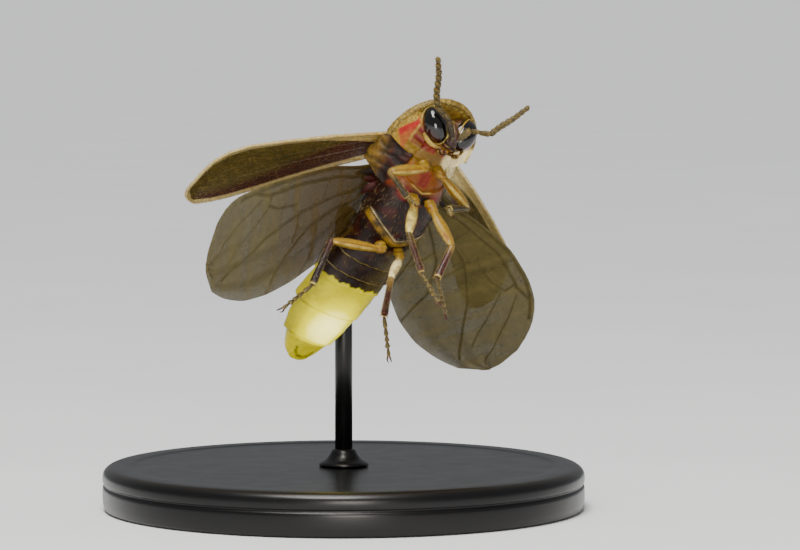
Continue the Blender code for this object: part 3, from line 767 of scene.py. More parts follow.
    def lantern_mask(self, points: Points, across: Mask, low: Mask) -> Mask:
        """1 on the light organ, with a scalloped front border."""
        scallop = 0.05 * np.sin(across * 9.0) + 0.03 * np.sin(across * 23.0 + 1.0)
        reach = rise(points[:, 1] + scallop, self.lantern_front + 0.04, self.lantern_front - 0.04)
        return reach * rise(low, -0.55, -0.25)

    def light(self, points: Points, across: Mask, low: Mask, flank: Mask, lantern: Mask,
              tail: Mask, lobe: Mask) -> Mask:
        """How strongly each point shines."""
        places = points[:, 1]
        core = spot(points, (0.05, -6.75, -1.3), (1.15, 1.35, 1.4), 0.75)
        cloud = mottle(points, 1.6, 3.0)
        light = 0.45 + 0.48 * core + 0.05 * cloud - self.glow_sides * rise(flank, 0.6, 1.0)
        for rim in self.lantern_rims[1:]:
            light -= 0.09 * band(places, rim, 0.02, 0.06)
        light = np.clip(light, 0.0, 1.0) * lantern * (1 - tail)
        shine = (0.40 - 0.22 * lobe + 0.05 * cloud) * rise(low, -0.7, -0.1)
        return light + tail * np.clip(shine, 0.0, 1.0)

    def build(self) -> Piece:
        """Shapes, paints and settles the skin."""
        trunk = self.shape()
        self.paint(trunk)
        finish = Cuticle("body_cuticle", roughness=0.34, mottling=0.22, mottle_scale=4.0,
                         grain_scale=22.0, grain_depth=0.02, pit_scale=13.0, pit_depth=0.008,
                         coat=0.10, coat_roughness=0.10, specular=0.22, glows=True)
        coat = Down("body_down", trunk, 1500, 0.17, 0.0038, 0.35, 11)
        nodes = ("prosternum", "thorax", "abdomen", "lantern", "abdomen_tip")
        settle(trunk, "body_skin", finish, nodes)
        coat.settle("thorax")
        return trunk


@dataclass
class Down:
    """Fine hairs rooted on a piece, as one solid mesh.

    The piece gives the hairs' lie and density by its lie and down attributes.
    """

    name: str
    skin: Piece
    count: int
    length: float
    radius: float
    lift: float
    seed: int
    tone: Tone = Tone.HAIR
    jitter: float = 0.25
    patch: float = 0.003
    piece: Piece = field(init=False)

    def __post_init__(self) -> None:
        """Grows the hairs at once, while the skin is still on the bench."""
        roots, out, lie, size = self.draw_roots()
        self.piece = self.weave(roots, out, lie, size)

    def draw_roots(self) -> tuple[Points, Points, Points, Mask]:
        """Draws seeded places on the skin, more where it is downier.

        The faces are put in the order of their places first, because an operator may
        list the same faces in another order on the next run.
        """
        draw = np.random.default_rng(self.seed)
        mesh = self.skin.mesh
        mesh.calc_loop_triangles()
        corners = np.empty(len(mesh.loop_triangles) * 3, np.int32)
        mesh.loop_triangles.foreach_get("vertices", corners)
        corners = corners.reshape(-1, 3)
        points, normals = self.skin.points(), self.skin.normals()
        ranks = (points @ np.array((0.618, 0.755, 0.221)))[corners]
        turned = (ranks.argmin(axis=1)[:, None] + np.arange(3)) % 3
        corners = np.take_along_axis(corners, turned, axis=1)[np.argsort(ranks.sum(axis=1))]
        down = self.skin.read("down", 1)
        lie = self.skin.read("lie", 3)
        a, b, c = (points[corners[:, k]] for k in range(3))
        weight = np.linalg.norm(np.cross(b - a, c - a), axis=1) * down[corners].mean(1)
        chosen = draw.choice(len(corners), self.count, p=weight / weight.sum())
        u, v = draw.random(self.count), draw.random(self.count)
        flip = u + v > 1
        u[flip], v[flip] = 1 - u[flip], 1 - v[flip]
        roots = a[chosen] + (b - a)[chosen] * u[:, None] + (c - a)[chosen] * v[:, None]
        out = normals[corners[chosen]].mean(1)
        out /= np.linalg.norm(out, axis=1)[:, None] + 1e-9
        lay = lie[corners[chosen]].mean(1) + draw.normal(0, self.jitter, (self.count, 3))
        size = 0.6 + 0.8 * draw.random(self.count)
        return roots, out, lay, size

    def weave(self, roots: Points, out: Points, lie: Points, size: Mask) -> Piece:
        """Makes each hair a bent spike of seven points."""
        along = lie - out * np.sum(lie * out, axis=1)[:, None]
        along /= np.linalg.norm(along, axis=1)[:, None] + 1e-9
        rising = along + out * self.lift * 2.2
        rising /= np.linalg.norm(rising, axis=1)[:, None]
        across = np.cross(along, out)
        length = (self.length * size)[:, None]
        knee = roots + rising * length * 0.55
        tip = knee + (along + out * self.lift * 0.6) * length * 0.5
        thick = np.cross(rising, across)
        shape = []
        for base, radius in ((roots - out * 2.0 * self.radius, self.radius), (knee, 0.7 * self.radius)):
            for turn in (0.0, math.tau / 3, 2 * math.tau / 3):
                shape.append(base + (across * math.cos(turn) + thick * math.sin(turn)) * radius)
        shape.append(tip)
        vertices = np.stack(shape, 1).reshape(-1, 3)
        corners = np.array([(0, 1, 4), (0, 4, 3), (1, 2, 5), (1, 5, 4), (2, 0, 3), (2, 3, 5),
                            (3, 4, 6), (4, 5, 6), (5, 3, 6), (0, 2, 1)])
        faces = (corners[None] + 7 * np.arange(len(roots))[:, None, None]).reshape(-1, 3)
        mesh = bpy.data.meshes.new(self.name)
        mesh.from_pydata(vertices.tolist(), [], faces.tolist())
        body = bpy.data.objects.new(self.name, mesh)
        bpy.context.scene.collection.objects.link(body)
        made = Piece(body)
        self.unwrap(made, roots, faces)
        shade = 0.75 + 0.5 * size[:, None]
        made.mark("tint", np.repeat(np.array(self.tone.value) * shade, 7, axis=0))
        return made

    def unwrap(self, made: Piece, roots: Points, faces: Points) -> None:
        """Gives each hair one small patch at its root's place on a wrap of the skin."""
        middle = roots.mean(0)
        spread = roots - middle
        axes = np.linalg.svd(spread, full_matrices=False)[2]
        local = spread @ axes.T
        around = np.arctan2(local[:, 2], local[:, 1]) / math.tau + 0.5
        reach = local[:, 0].max() - local[:, 0].min() + 1e-9
        along = (local[:, 0] - local[:, 0].min()) / reach
        patch = np.array([(0, 0), (1, 0), (0.5, 1), (0, 0.3), (1, 0.3), (0.5, 0.8), (0.5, 0.5)])
        places = np.stack([around, along], 1)[:, None] * (1 - self.patch) + patch[None] * self.patch
        layer = made.mesh.uv_layers.new(name="OFBake")
        layer.data.foreach_set("uv", places.reshape(-1, 2)[faces.ravel()].astype(np.float32).ravel())

    def settle(self, slot: str) -> None:
        """Settles the hairs with their own finish."""
        finish = Cuticle("down_hair", roughness=0.45, roughness_spread=0.05, mottling=0.15,
                         grain_depth=0.002, sheen=0.3)
        settle(self.piece, self.name, finish)


@dataclass
class Prothorax:
    """The domed shield over the head and the inflexed flanks under it."""

    half_width: float = 2.15
    rear: float = 2.58
    length: float = 2.52
    margin_height: float = 0.35
    dome: float = 0.95
    thickness: float = 0.18
    rim_bead: float = 0.035
    lining: float = 0.70
    flank_rear: tuple[float, float] = (2.60, 2.28)
    flank_front: float = 4.15

    def outline(self, angle: Mask) -> tuple[Mask, Mask]:
        """The border's X and Y at angles round the shield's front half."""
        c = np.cos(angle)
        return (self.half_width * np.sign(c) * np.abs(c) ** 0.9,
                self.rear + self.length * np.sin(angle))

    def reach(self, points: Points) -> Mask:
        """0 in the middle of the rear edge, 1 on the border."""
        return np.hypot(points[:, 0] / self.half_width, (points[:, 1] - self.rear) / self.length)

    def height(self, points: Points) -> Mask:
        """The dome's height over each point."""
        return self.margin_height + self.dome * (1.0 - np.minimum(self.reach(points), 1.0) ** 3)

    def surface(self, turn: Mask, share: Mask) -> Points:
        """The shield's middle surface."""
        x, y = self.outline(math.pi * turn)
        points = np.stack([x, self.rear + (y - self.rear) * share, np.zeros(len(x))], 1)
        points[:, 2] = self.height(points)
        points[:, 1] -= 0.10 * (1 - share) * np.cos(points[:, 0] * 1.9) * (1 - rise(share, 0.0, 0.4))
        return points

    def shield(self) -> Piece:
        """The shield, with a beaded rim and a granular surface."""
        shield = skin_grid("pronotum_shield", 110, 44, self.surface)
        self.weld(shield)
        shield.modify("SOLIDIFY", thickness=self.thickness, offset=0.0)
        shield.refine(1)
        points, normals = shield.points(), shield.normals()
        reach = self.reach(points)
        upper = rise(normals[:, 2], -0.1, 0.1)
        points[:, 2] -= self.lining * self.dome * (1.0 - np.minimum(reach, 1.0) ** 3) * (1.0 - upper)
        shield.place(points)
        depth = self.rim_bead * band(reach, 1.0, 0.012, 0.03)
        depth -= 0.02 * band(reach, 0.93, 0.01, 0.03)
        depth += 0.014 * mottle(points, 9.0, 2.0) + 0.010 * mottle(points, 19.0, 4.0)
        depth -= 0.04 * upper * band(points[:, 0], 0.0, 0.02, 0.1) * rise(reach, 0.9, 0.6)
        shield.press(depth)
        self.paint_shield(shield, points, reach, upper)
        return shield

    def weld(self, piece: Piece) -> None:
        """Merges the points that meet where the rows close up."""
        clear_bench()
        bpy.context.view_layer.objects.active = piece.body
        piece.body.select_set(True)
        bpy.ops.object.mode_set(mode="EDIT")
        bpy.ops.mesh.select_all(action="SELECT")
        bpy.ops.mesh.remove_doubles(threshold=0.004)
        bpy.ops.mesh.normals_make_consistent(inside=False)
        bpy.ops.object.mode_set(mode="OBJECT")

    def paint_shield(self, shield: Piece, points: Points, reach: Mask, upper: Mask) -> None:
        """Golden and granular below; marked with rose and black above."""
        blotch = mottle(points, 1.8, 7.0)
        fine = mottle(points, 8.0, 3.0)
        below = 1 - upper
        paint = Paint(len(points), Tone.TAN)
        front = rise(points[:, 1], 3.9, 4.4)
        paint.lay(Tone.GOLD, below * 0.75 * rise(fine, -0.4, 0.3))
        paint.lay(Tone.OLIVE, below * (0.15 + 0.35 * front) * rise(blotch + 0.8 * fine, -0.1, 0.6))
        for side in Side:
            disc = spot(points, tuple(side.point((0.85, 3.25, 1.2))), (0.62, 0.62, 1.5), 0.3)
            paint.lay(Tone.SCARLET, upper * disc * 0.85)
        paint.lay(Tone.BLACK, upper * spot(points, (0.0, 3.15, 1.3), (0.42, 0.62, 1.5), 0.22))
        grains = rise(mottle(points, 15.0, 6.0), 0.0, 0.4)
        paint.lay(Tone.OLIVE, rise(reach, 0.84, 0.90) * (0.45 + 0.15 * blotch))
        paint.lay(Tone.PALE, 0.5 * rise(reach, 0.84, 0.90) * grains)
        paint.lay(Tone.CREAM, rise(points[:, 0], -1.45, -1.75) * rise(points[:, 1], 3.5, 3.2))
        paint.shade(1.0 + 0.3 * fine)
        shield.mark("tint", paint.coats)
        shield.mark("down", 0.3 + 0.4 * upper * rise(reach, 0.8, 1.0))
        lie = np.stack([points[:, 0] * 0.3, np.full(len(points), -0.6), np.zeros(len(points))], 1)
        shield.mark("lie", lie)

    def flank(self, side: Side) -> Piece:
        """The inflexed flank: from the shield's side rim in to the breast, with painted shade on its inner part."""

        def surface(inward: Mask, forward: Mask) -> Points:
            rear = self.flank_rear[0] + (self.flank_rear[1] - self.flank_rear[0]) * inward
            place = rear + (self.flank_front - rear) * forward
            angle = np.arcsin(np.clip((place - self.rear) / self.length, 0.0, 1.0))
            rim = self.half_width * np.cos(angle) ** 0.9 - 0.07
            x = rim + (0.84 - rim) * inward + 0.10 * np.sin(math.pi * inward)
            z = 0.33 - 0.80 * inward ** 1.15 * (1.0 - 0.9 * rise(forward, 0.75, 1.0))
            z -= 0.08 * np.sin(math.pi * inward) * (1.0 - forward)
            points = np.stack([x, place, z], 1)
            points[:, 0] *= side.value
            return points

        flank = skin_grid(f"flank_{side.word}", 48, 44, surface)
        flank.modify("SOLIDIFY", thickness=0.08, offset=0.0)
        flank.refine(1)
        inward = flank.read("span_share", 1)
        points = flank.points()
        place = points[:, 1]
        fine = mottle(points, 7.0, 6.0)
        folds = np.sin(place * 17.0 + inward * 5.0) * rise(inward, 0.45, 0.8)
        below = inward - 0.16 - 0.384 * (place - 3.06)
        border = np.maximum(rise(inward, 0.21, 0.13), rise(below, 0.0, -0.05) * rise(place, 2.9, 3.1))
        flank.press(0.012 * fine + 0.016 * folds + 0.014 * border * mottle(points, 17.0, 2.0))
        paint = Paint(len(points), Tone.GOLD)
        paint.lay(Tone.TAN, border * (0.4 + 0.6 * fine))
        paint.lay(Tone.PALE, border * 0.5 * rise(mottle(points, 15.0, 6.0), 0.0, 0.4))
        patch = rise(below, -0.03, 0.03) * rise(inward, 0.68, 0.54) * rise(place, 4.18, 4.04)
        patch *= rise(place + 1.67 * inward, 3.22, 3.42)
        paint.lay(Tone.ORANGE, 0.85 * patch)
        paint.lay(Tone.SCARLET, patch * rise(below + 0.05 * fine, 0.36, 0.12))
        paint.lay(Tone.CRIMSON, rise(inward, 0.63, 0.70) * rise(place, 2.80, 2.95) * (0.8 + 0.3 * folds))
        paint.lay(Tone.PALE, 0.3 * band(inward + 0.05 * fine, 0.63, 0.01, 0.03) * rise(place, 2.85, 3.0))
        paint.lay(Tone.PALE, 0.5 * rise(place, 3.80, 3.95) * rise(inward, 0.45, 0.60))
        if side is Side.LEFT:
            paint.lay(Tone.CREAM, 0.95 * rise(place, 3.5, 3.2))
            paint.shade(1.0 + 0.4 * rise(place, 3.5, 3.2))
        # Random light and dark, and painted shade that darkens the inner part of the flank, where it turns in under
        # the shield towards the breast.
        paint.shade((1.0 + 0.15 * fine) * (1.0 - 0.3 * rise(inward, 0.45, 0.75)))
        flank.mark("tint", paint.coats)
        return flank

    def build(self) -> None:
        """Builds and settles the shield and its flanks."""
        shield = self.shield()
        finish = Cuticle("pronotum_cuticle", roughness=0.42, mottling=0.3, mottle_scale=6.0,
                         grain_scale=18.0, grain_depth=0.03, pit_scale=16.0, pit_depth=0.012,
                         coat=0.1, subsurface=0.08)
        coat = Down("pronotum_down", shield, 2800, 0.080, 0.0030, 0.30, 21)
        settle(shield, "pronotum_shield", finish, ("pronotum",))
        coat.settle("pronotum")
        soft = Cuticle("flank_cuticle", roughness=0.38, mottling=0.2, mottle_scale=5.0,
                       grain_scale=15.0, grain_depth=0.02, coat=0.1, specular=0.25)
        for side in Side:
            settle(self.flank(side), f"pronotum_flank_{side.word}", soft)


@dataclass
class Head:
    """The head capsule, its eyes and its mouthparts."""

    eye_centre: Triple = (0.76, 4.06, -0.33)
    eye_radii: Triple = (0.83, 0.55, 0.62)
    eye_long: Triple = (-0.49, -0.594, -0.633)
    orbit_facing: Triple = (0.64, 0.35, -0.68)
    orbit_depth: float = -0.02
    rim_radius: float = 0.034
    voxel: float = 0.034
    swellings: tuple[tuple[Triple, Triple], ...] = (
        ((0.0, 3.80, -0.32), (0.80, 0.58, 0.60)),
        ((0.0, 4.02, -0.50), (0.27, 0.52, 0.74)),
        ((0.0, 3.74, -0.98), (0.32, 0.34, 0.34)),
        ((0.0, 3.42, -0.34), (0.62, 0.50, 0.42)),
        ((0.0, 3.52, -0.80), (0.44, 0.34, 0.34)),
    )
    tubercle: tuple[Triple, Triple] = ((0.15, 4.09, -1.04), (0.13, 0.15, 0.14))
    mouth_shift: Triple = (0.0, -0.40, 0.36)

    def orbit(self, side: Side) -> tuple[Vector, Vector]:
        """The eye's centre and the way its socket faces."""
        return side.point(self.eye_centre), side.point(self.orbit_facing).normalized()

    def eye_axes(self, side: Side) -> Points:
        """The eye's three half axes as rows: long, across and outward."""
        facing = side.point(self.orbit_facing).normalized()
        long = side.point(self.eye_long)
        long = (long - facing * long.dot(facing)).normalized()
        ways = (long, facing.cross(long).normalized(), facing)
        return np.array([np.array(way) * radius for way, radius in zip(ways, self.eye_radii)])

    def eyeball(self, name: str, side: Side, size: float, sunk: float, segments: int = 24,
                rings: int = 16) -> Piece:
        """A ball in the eye's shape."""
        centre, facing = self.orbit(side)
        eye = ball(name, (0.0, 0.0, 0.0), (size, size, size), segments, rings)
        return eye.place(eye.points() @ self.eye_axes(side) + np.array(centre - facing * sunk))

    def capsule(self) -> Piece:
        """Fuses the swellings into one skin and presses in its grooves."""
        parts = [ball("swelling", centre, radii) for centre, radii in self.swellings]
        for side in Side:
            parts.append(self.eyeball("orbit", side, 0.98, 0.26))
            parts.append(ball("tubercle", tuple(side.point(self.tubercle[0])), self.tubercle[1]))
        head = join("head_capsule", parts)
        head.modify("REMESH", mode="VOXEL", voxel_size=self.voxel)
        head.modify("SMOOTH", factor=0.5, iterations=6)
        head.refine(1)
        points = head.points()
        depth = 0.012 * mottle(points, 8.0, 2.0)
        strip = band(points[:, 0], 0.0, 0.04, 0.08) * rise(points[:, 1], 4.1, 4.3)
        depth -= 0.04 * strip * rise(points[:, 2], -1.0, -0.8)
        clypeus = points[:, 2] + 1.10
        depth -= 0.03 * band(clypeus, 0.0, 0.01, 0.04) * rise(points[:, 1], 3.8, 3.9)
        head.press(depth)
        self.paint_capsule(head)
        return head

    def paint_capsule(self, head: Piece) -> None:
        """Olive gold frons, dark round the feelers and mouth, pale behind the eyes."""
        points = head.points()
        fine = mottle(points, 9.0, 1.0)
        blotch = mottle(points, 3.0, 2.0)
        paint = Paint(len(points), Tone.TAN)
        paint.lay(Tone.OLIVE, 0.35 + 0.45 * rise(fine, -0.1, 0.4))
        paint.lay(Tone.MAROON, rise(points[:, 2], -0.90, -1.05) * 0.9)
        paint.lay(Tone.MAROON, rise(points[:, 1], 4.28, 4.42) * 0.8)
        paint.lay(Tone.UMBER, rise(points[:, 2], -0.85, -1.0) * rise(blotch, -0.2, 0.2) * 0.7)
        paint.lay(Tone.PALE, 0.6 * band(np.abs(points[:, 0]), 0.19, 0.03, 0.05) * rise(points[:, 1], 4.0, 4.2))
        paint.lay(Tone.AMBER, rise(points[:, 1], 3.75, 3.45) * 0.9)
        paint.lay(Tone.PALE, 0.8 * rise(points[:, 1], 3.85, 3.6) * rise(np.abs(points[:, 0]), 0.5, 0.8))
        paint.lay(Tone.CRIMSON, rise(points[:, 1], 3.42, 3.25) * 0.9)
        paint.shade(1.0 + 0.25 * fine + 0.15 * blotch)
        head.mark("tint", paint.coats)
        head.mark("down", 0.1 + 0.9 * rise(points[:, 1], 4.0, 4.3))
        head.mark("lie", np.tile((0.0, 0.2, -0.9), (len(points), 1)))

    def eye(self, side: Side) -> Piece:
        """One bulging eye, black with maroon towards its lower rear."""
        centre, _ = self.orbit(side)
        eye = self.eyeball(f"eye_{side.word}", side, 1.0, 0.0, 64, 48)
        points = eye.points()
        paint = Paint(len(points), Tone.BLACK)
        low = (points - np.array(centre)) @ np.array(side.point((0.45, -0.72, -0.52)))
        paint.lay(Tone.MAROON, 0.6 * rise(low, 0.40, 0.62))
        eye.mark("tint", paint.coats)
        return eye

    def rim(self, side: Side) -> Piece:
        """The thin pale rim where the eye meets the head."""
        centre, facing = self.orbit(side)
        first = facing.orthogonal().normalized()
        second = facing.cross(first)
        clear_bench()
        bpy.ops.mesh.primitive_torus_add(major_segments=96, minor_segments=10,
                                         major_radius=1.0, minor_radius=0.1)
        rim = Piece(bpy.context.object)
        flat = rim.points()
        angle = np.arctan2(flat[:, 1], flat[:, 0])
        outward = (np.hypot(flat[:, 0], flat[:, 1]) - 1.0) / 0.1
        way = np.outer(np.cos(angle), np.array(first)) + np.outer(np.sin(angle), np.array(second))
        flatten = np.linalg.inv(self.eye_axes(side))
        base = -self.orbit_depth * np.array(facing)
        a = ((way @ flatten) ** 2).sum(1)
        b = 2.0 * ((way @ flatten) * (base @ flatten)).sum(1)
        c = ((base @ flatten) ** 2).sum() - 1.0
        reach = (-b + np.sqrt(b * b - 4 * a * c)) / (2 * a)
        thick = self.rim_radius * (1.0 + 0.15 * np.sin(angle * 3.0))
        points = np.array(centre) + base + way * (reach + self.rim_radius + thick * outward)[:, None]
        points += np.outer(flat[:, 2] / 0.1 * thick, np.array(facing))
        rim.place(points)
        paint = Paint(len(points), Tone.GOLD).lay(Tone.PALE, 0.5 + 0.5 * np.sin(angle * 2.0))
        rim.mark("tint", paint.coats)
        return rim

    def cheek(self, side: Side) -> Piece:
        """The pale leaf-shaped plate behind and below each eye."""
        path = [side.point(p) for p in ((1.06, 3.56, -0.22), (1.05, 3.50, -0.55), (0.88, 3.40, -0.88),
                                        (0.66, 3.42, -1.12), (0.42, 3.55, -1.30))]
        cheek = skin_path("cheek", path, (0.04, 0.10, 0.115, 0.085, 0.03), 14, 0.45, (1.0, 0.4, -0.4))
        cheek.refine(2)
        points = cheek.points()
        fine = mottle(points, 7.0, 5.0)
        paint = Paint(len(points), Tone.PALE).lay(Tone.GOLD, 0.6 + 0.3 * rise(fine, -0.2, 0.4))
        paint.lay(Tone.MAROON, 0.7 * rise(points[:, 2], -1.05, -1.25))
        cheek.mark("tint", paint.coats)
        return cheek

    def jointed(self, path: Sequence[Vector], radii: Sequence[float], tip_pale: float) -> list[Piece]:
        """A row of short segments with pinched joints, as a palp has."""
        pieces = []
        for i, (start, end) in enumerate(zip(path, path[1:])):
            along = [start.lerp(end, t) for t in (-0.04, 0.12, 0.5, 0.85, 1.02)]
            near, far = radii[i], radii[i + 1]
            sizes = (0.5 * near, 0.85 * near, 0.5 * (near + far) * 1.1, 1.05 * far, 0.5 * far)
            segment = skin_path("segment", along, sizes, 12, 0.9, (0.1, 1.0, 0.2)).refine(1)
            points = segment.points()
            share = (points - np.array(start)) @ np.array((end - start).normalized())
            share = share / (end - start).length
            paint = Paint(len(points), Tone.MAROON).lay(Tone.GOLD, rise(share, 0.7, 1.0) * tip_pale)
            segment.mark("tint", paint.coats)
            pieces.append(segment)
        return pieces

    def mouth(self) -> Piece:
        """Jaws, lip and feelers of the mouth, joined."""
        pieces = []
        for side in Side:
            jaw = [side.point(p) for p in ((0.20, 3.98, -1.22), (0.27, 4.02, -1.42), (0.22, 4.06, -1.62),
                                           (0.08, 4.10, -1.75), (-0.06, 4.12, -1.80))]
            blade = skin_path("jaw", jaw, (0.12, 0.13, 0.10, 0.055, 0.015), 12, 0.7, (0, 1, 0)).refine(2)
            points = blade.points()
            paint = Paint(len(points), Tone.MAROON)
            paint.lay(Tone.GOLD, 0.8 * rise(points[:, 1], 4.06, 4.14))
            paint.lay(Tone.BLACK, rise(points[:, 2], -1.62, -1.78))
            blade.mark("tint", paint.coats)
            pieces.append(blade)
            long_palp = [side.point(p) for p in ((0.28, 3.72, -1.22), (0.40, 3.68, -1.42),
                                                 (0.43, 3.74, -1.62), (0.36, 3.88, -1.78), (0.30, 4.02, -1.98))]
            pieces += self.jointed(long_palp, (0.10, 0.11, 0.11, 0.12, 0.06), 0.9)
            short_palp = [side.point(p) for p in ((0.10, 3.72, -1.36), (0.15, 3.72, -1.52),
                                                  (0.14, 3.80, -1.64), (0.10, 3.90, -1.74))]
            pieces += self.jointed(short_palp, (0.07, 0.075, 0.08, 0.05), 0.7)
        lip = ball("lip", (0.0, 4.16, -1.44), (0.22, 0.06, 0.15), 24, 14).refine(1)
        spots = lip.points()
        lip.mark("tint", Paint(len(spots), Tone.AMBER).lay(Tone.MAROON, rise(spots[:, 2], -1.4, -1.5)).coats)
        chin = ball("chin", (0.0, 3.66, -1.28), (0.20, 0.20, 0.18), 24, 14).refine(1)
        chin.mark("tint", Paint(len(chin.points()), Tone.MAROON).coats)
        mouth = join("mouthparts", pieces + [lip, chin])
        return mouth.place(mouth.points() + np.array(self.mouth_shift))

    def build(self) -> None:
        """Builds and settles everything on the head."""
        capsule = self.capsule()
        horn = Cuticle("head_cuticle", roughness=0.34, mottling=0.3, mottle_scale=8.0, grain_scale=24.0,
                       grain_depth=0.03, pit_scale=17.0, pit_depth=0.02, coat=0.15)
        down = Down("head_down", capsule, 600, 0.06, 0.0028, 0.5, 31)
        settle(capsule, "head_capsule", horn, ("head",))
        down.settle("horn")
        settle(self.mouth(), "mouthparts", horn)
        cheeks = join("cheeks", [self.cheek(side) for side in Side])
        settle(cheeks, "cheeks", horn)
        glass = Cuticle("eye_glass", roughness=0.10, roughness_spread=0.02, mottling=0.1,
                        grain_scale=30.0, grain_depth=0.0006, pit_scale=38.0, pit_depth=0.0008,
                        coat=0.5, coat_roughness=0.03, specular=0.42)
        rim = Cuticle("eye_rim_cuticle", roughness=0.35, mottling=0.2, grain_depth=0.01, coat=0.4)
        for side in Side:
            settle(self.eye(side), f"compound_eye_{side.word}", glass, (f"eye_{side.word}",))
        settle(join("eye_rims", [self.rim(side) for side in Side]), "eye_rims", rim)


@dataclass
class Antenna:
    """One feeler of eleven joints: a stem of three and a whip of eight."""

    side: Side
    elbow: Triple
    neck: Triple
    tip: Triple
    socket: Triple = (0.16, 4.09, -1.08)
    radius: float = 0.175
    stem_radii: Triple = (1.0, 0.72, 0.86)
    whip_joints: int = 8

    def joints(self) -> list[tuple[Vector, Vector, float]]:
        """Start, end and radius of each joint."""
        socket, elbow, neck, tip = (self.side.point(p) for p in (self.socket, self.elbow, self.neck, self.tip))
        middle = elbow.lerp(neck, 0.45)
        stem = ((socket, elbow), (elbow, middle), (middle, neck))
        joints = [(start, end, self.radius * size) for (start, end), size in zip(stem, self.stem_radii)]
        sway = (tip - neck).cross(Vector((0.4, 0.1, 1.0))).normalized()
        for i in range(self.whip_joints):
            start, end = (neck.lerp(tip, (i + k) / self.whip_joints) for k in (0, 1))
            drift = sway * (0.035 * math.sin(i * 1.1))
            taper = 1.0 - 0.22 * (i / (self.whip_joints - 1)) ** 2
            joints.append((start + drift, end + drift, self.radius * taper))
        return joints

    def joint(self, start: Vector, end: Vector, radius: float) -> Piece:
        """One joint, narrow at its root and widest just before its end."""
        shares = (-0.06, 0.06, 0.35, 0.72, 0.92, 1.0)
        sizes = tuple(radius * k for k in (0.50, 0.72, 0.88, 1.0, 1.0, 0.72))
        path = [start.lerp(end, t) for t in shares]
        bulge = (end - start).cross(Vector((0.1, 0.3, 1.0))).normalized() * radius * 0.18
        path[3] = path[3] + bulge
        path[4] = path[4] + bulge
        joint = skin_path("joint", path, sizes, 12, 0.85, (0.3, 0.0, 1.0)).refine(1)
        points = joint.points()
        way = (end - start).normalized()
        share = (points - np.array(start)) @ np.array(way) / (end - start).length
        fine = mottle(points, 9.0, 8.0)
        joint.press(0.008 * fine)
        paint = Paint(len(points), Tone.OLIVE)
        paint.lay(Tone.OLIVE_DARK, 0.7 * rise(share + 0.4 * fine, 0.6, 0.1))
        paint.lay(Tone.TAN, 0.5 * rise(share + 0.3 * fine, 0.82, 0.98))
        if self.side is Side.RIGHT:
            paint.lay(Tone.UMBER, 0.85 * rise(points[:, 1], 4.95, 4.65))
        joint.mark("tint", paint.coats)
        joint.mark("down", np.full(len(points), 1.0))
        joint.mark("lie", np.tile(np.array(way), (len(points), 1)))
        return joint

    def build(self) -> None:
        """Builds and settles the feeler and its down."""
        name = f"feeler_{self.side.word}"
        feeler = join(name, [self.joint(*spec) for spec in self.joints()])
        down = Down(f"{name}_down", feeler, 1300, 0.07, 0.0030, 0.45, 41)
        finish = Cuticle("feeler_cuticle", roughness=0.5, mottling=0.35, mottle_scale=7.0,
                         grain_depth=0.02, coat=0.1)
        settle(feeler, name, finish, (f"antenna_{self.side.word}",))
        down.settle("antenna")


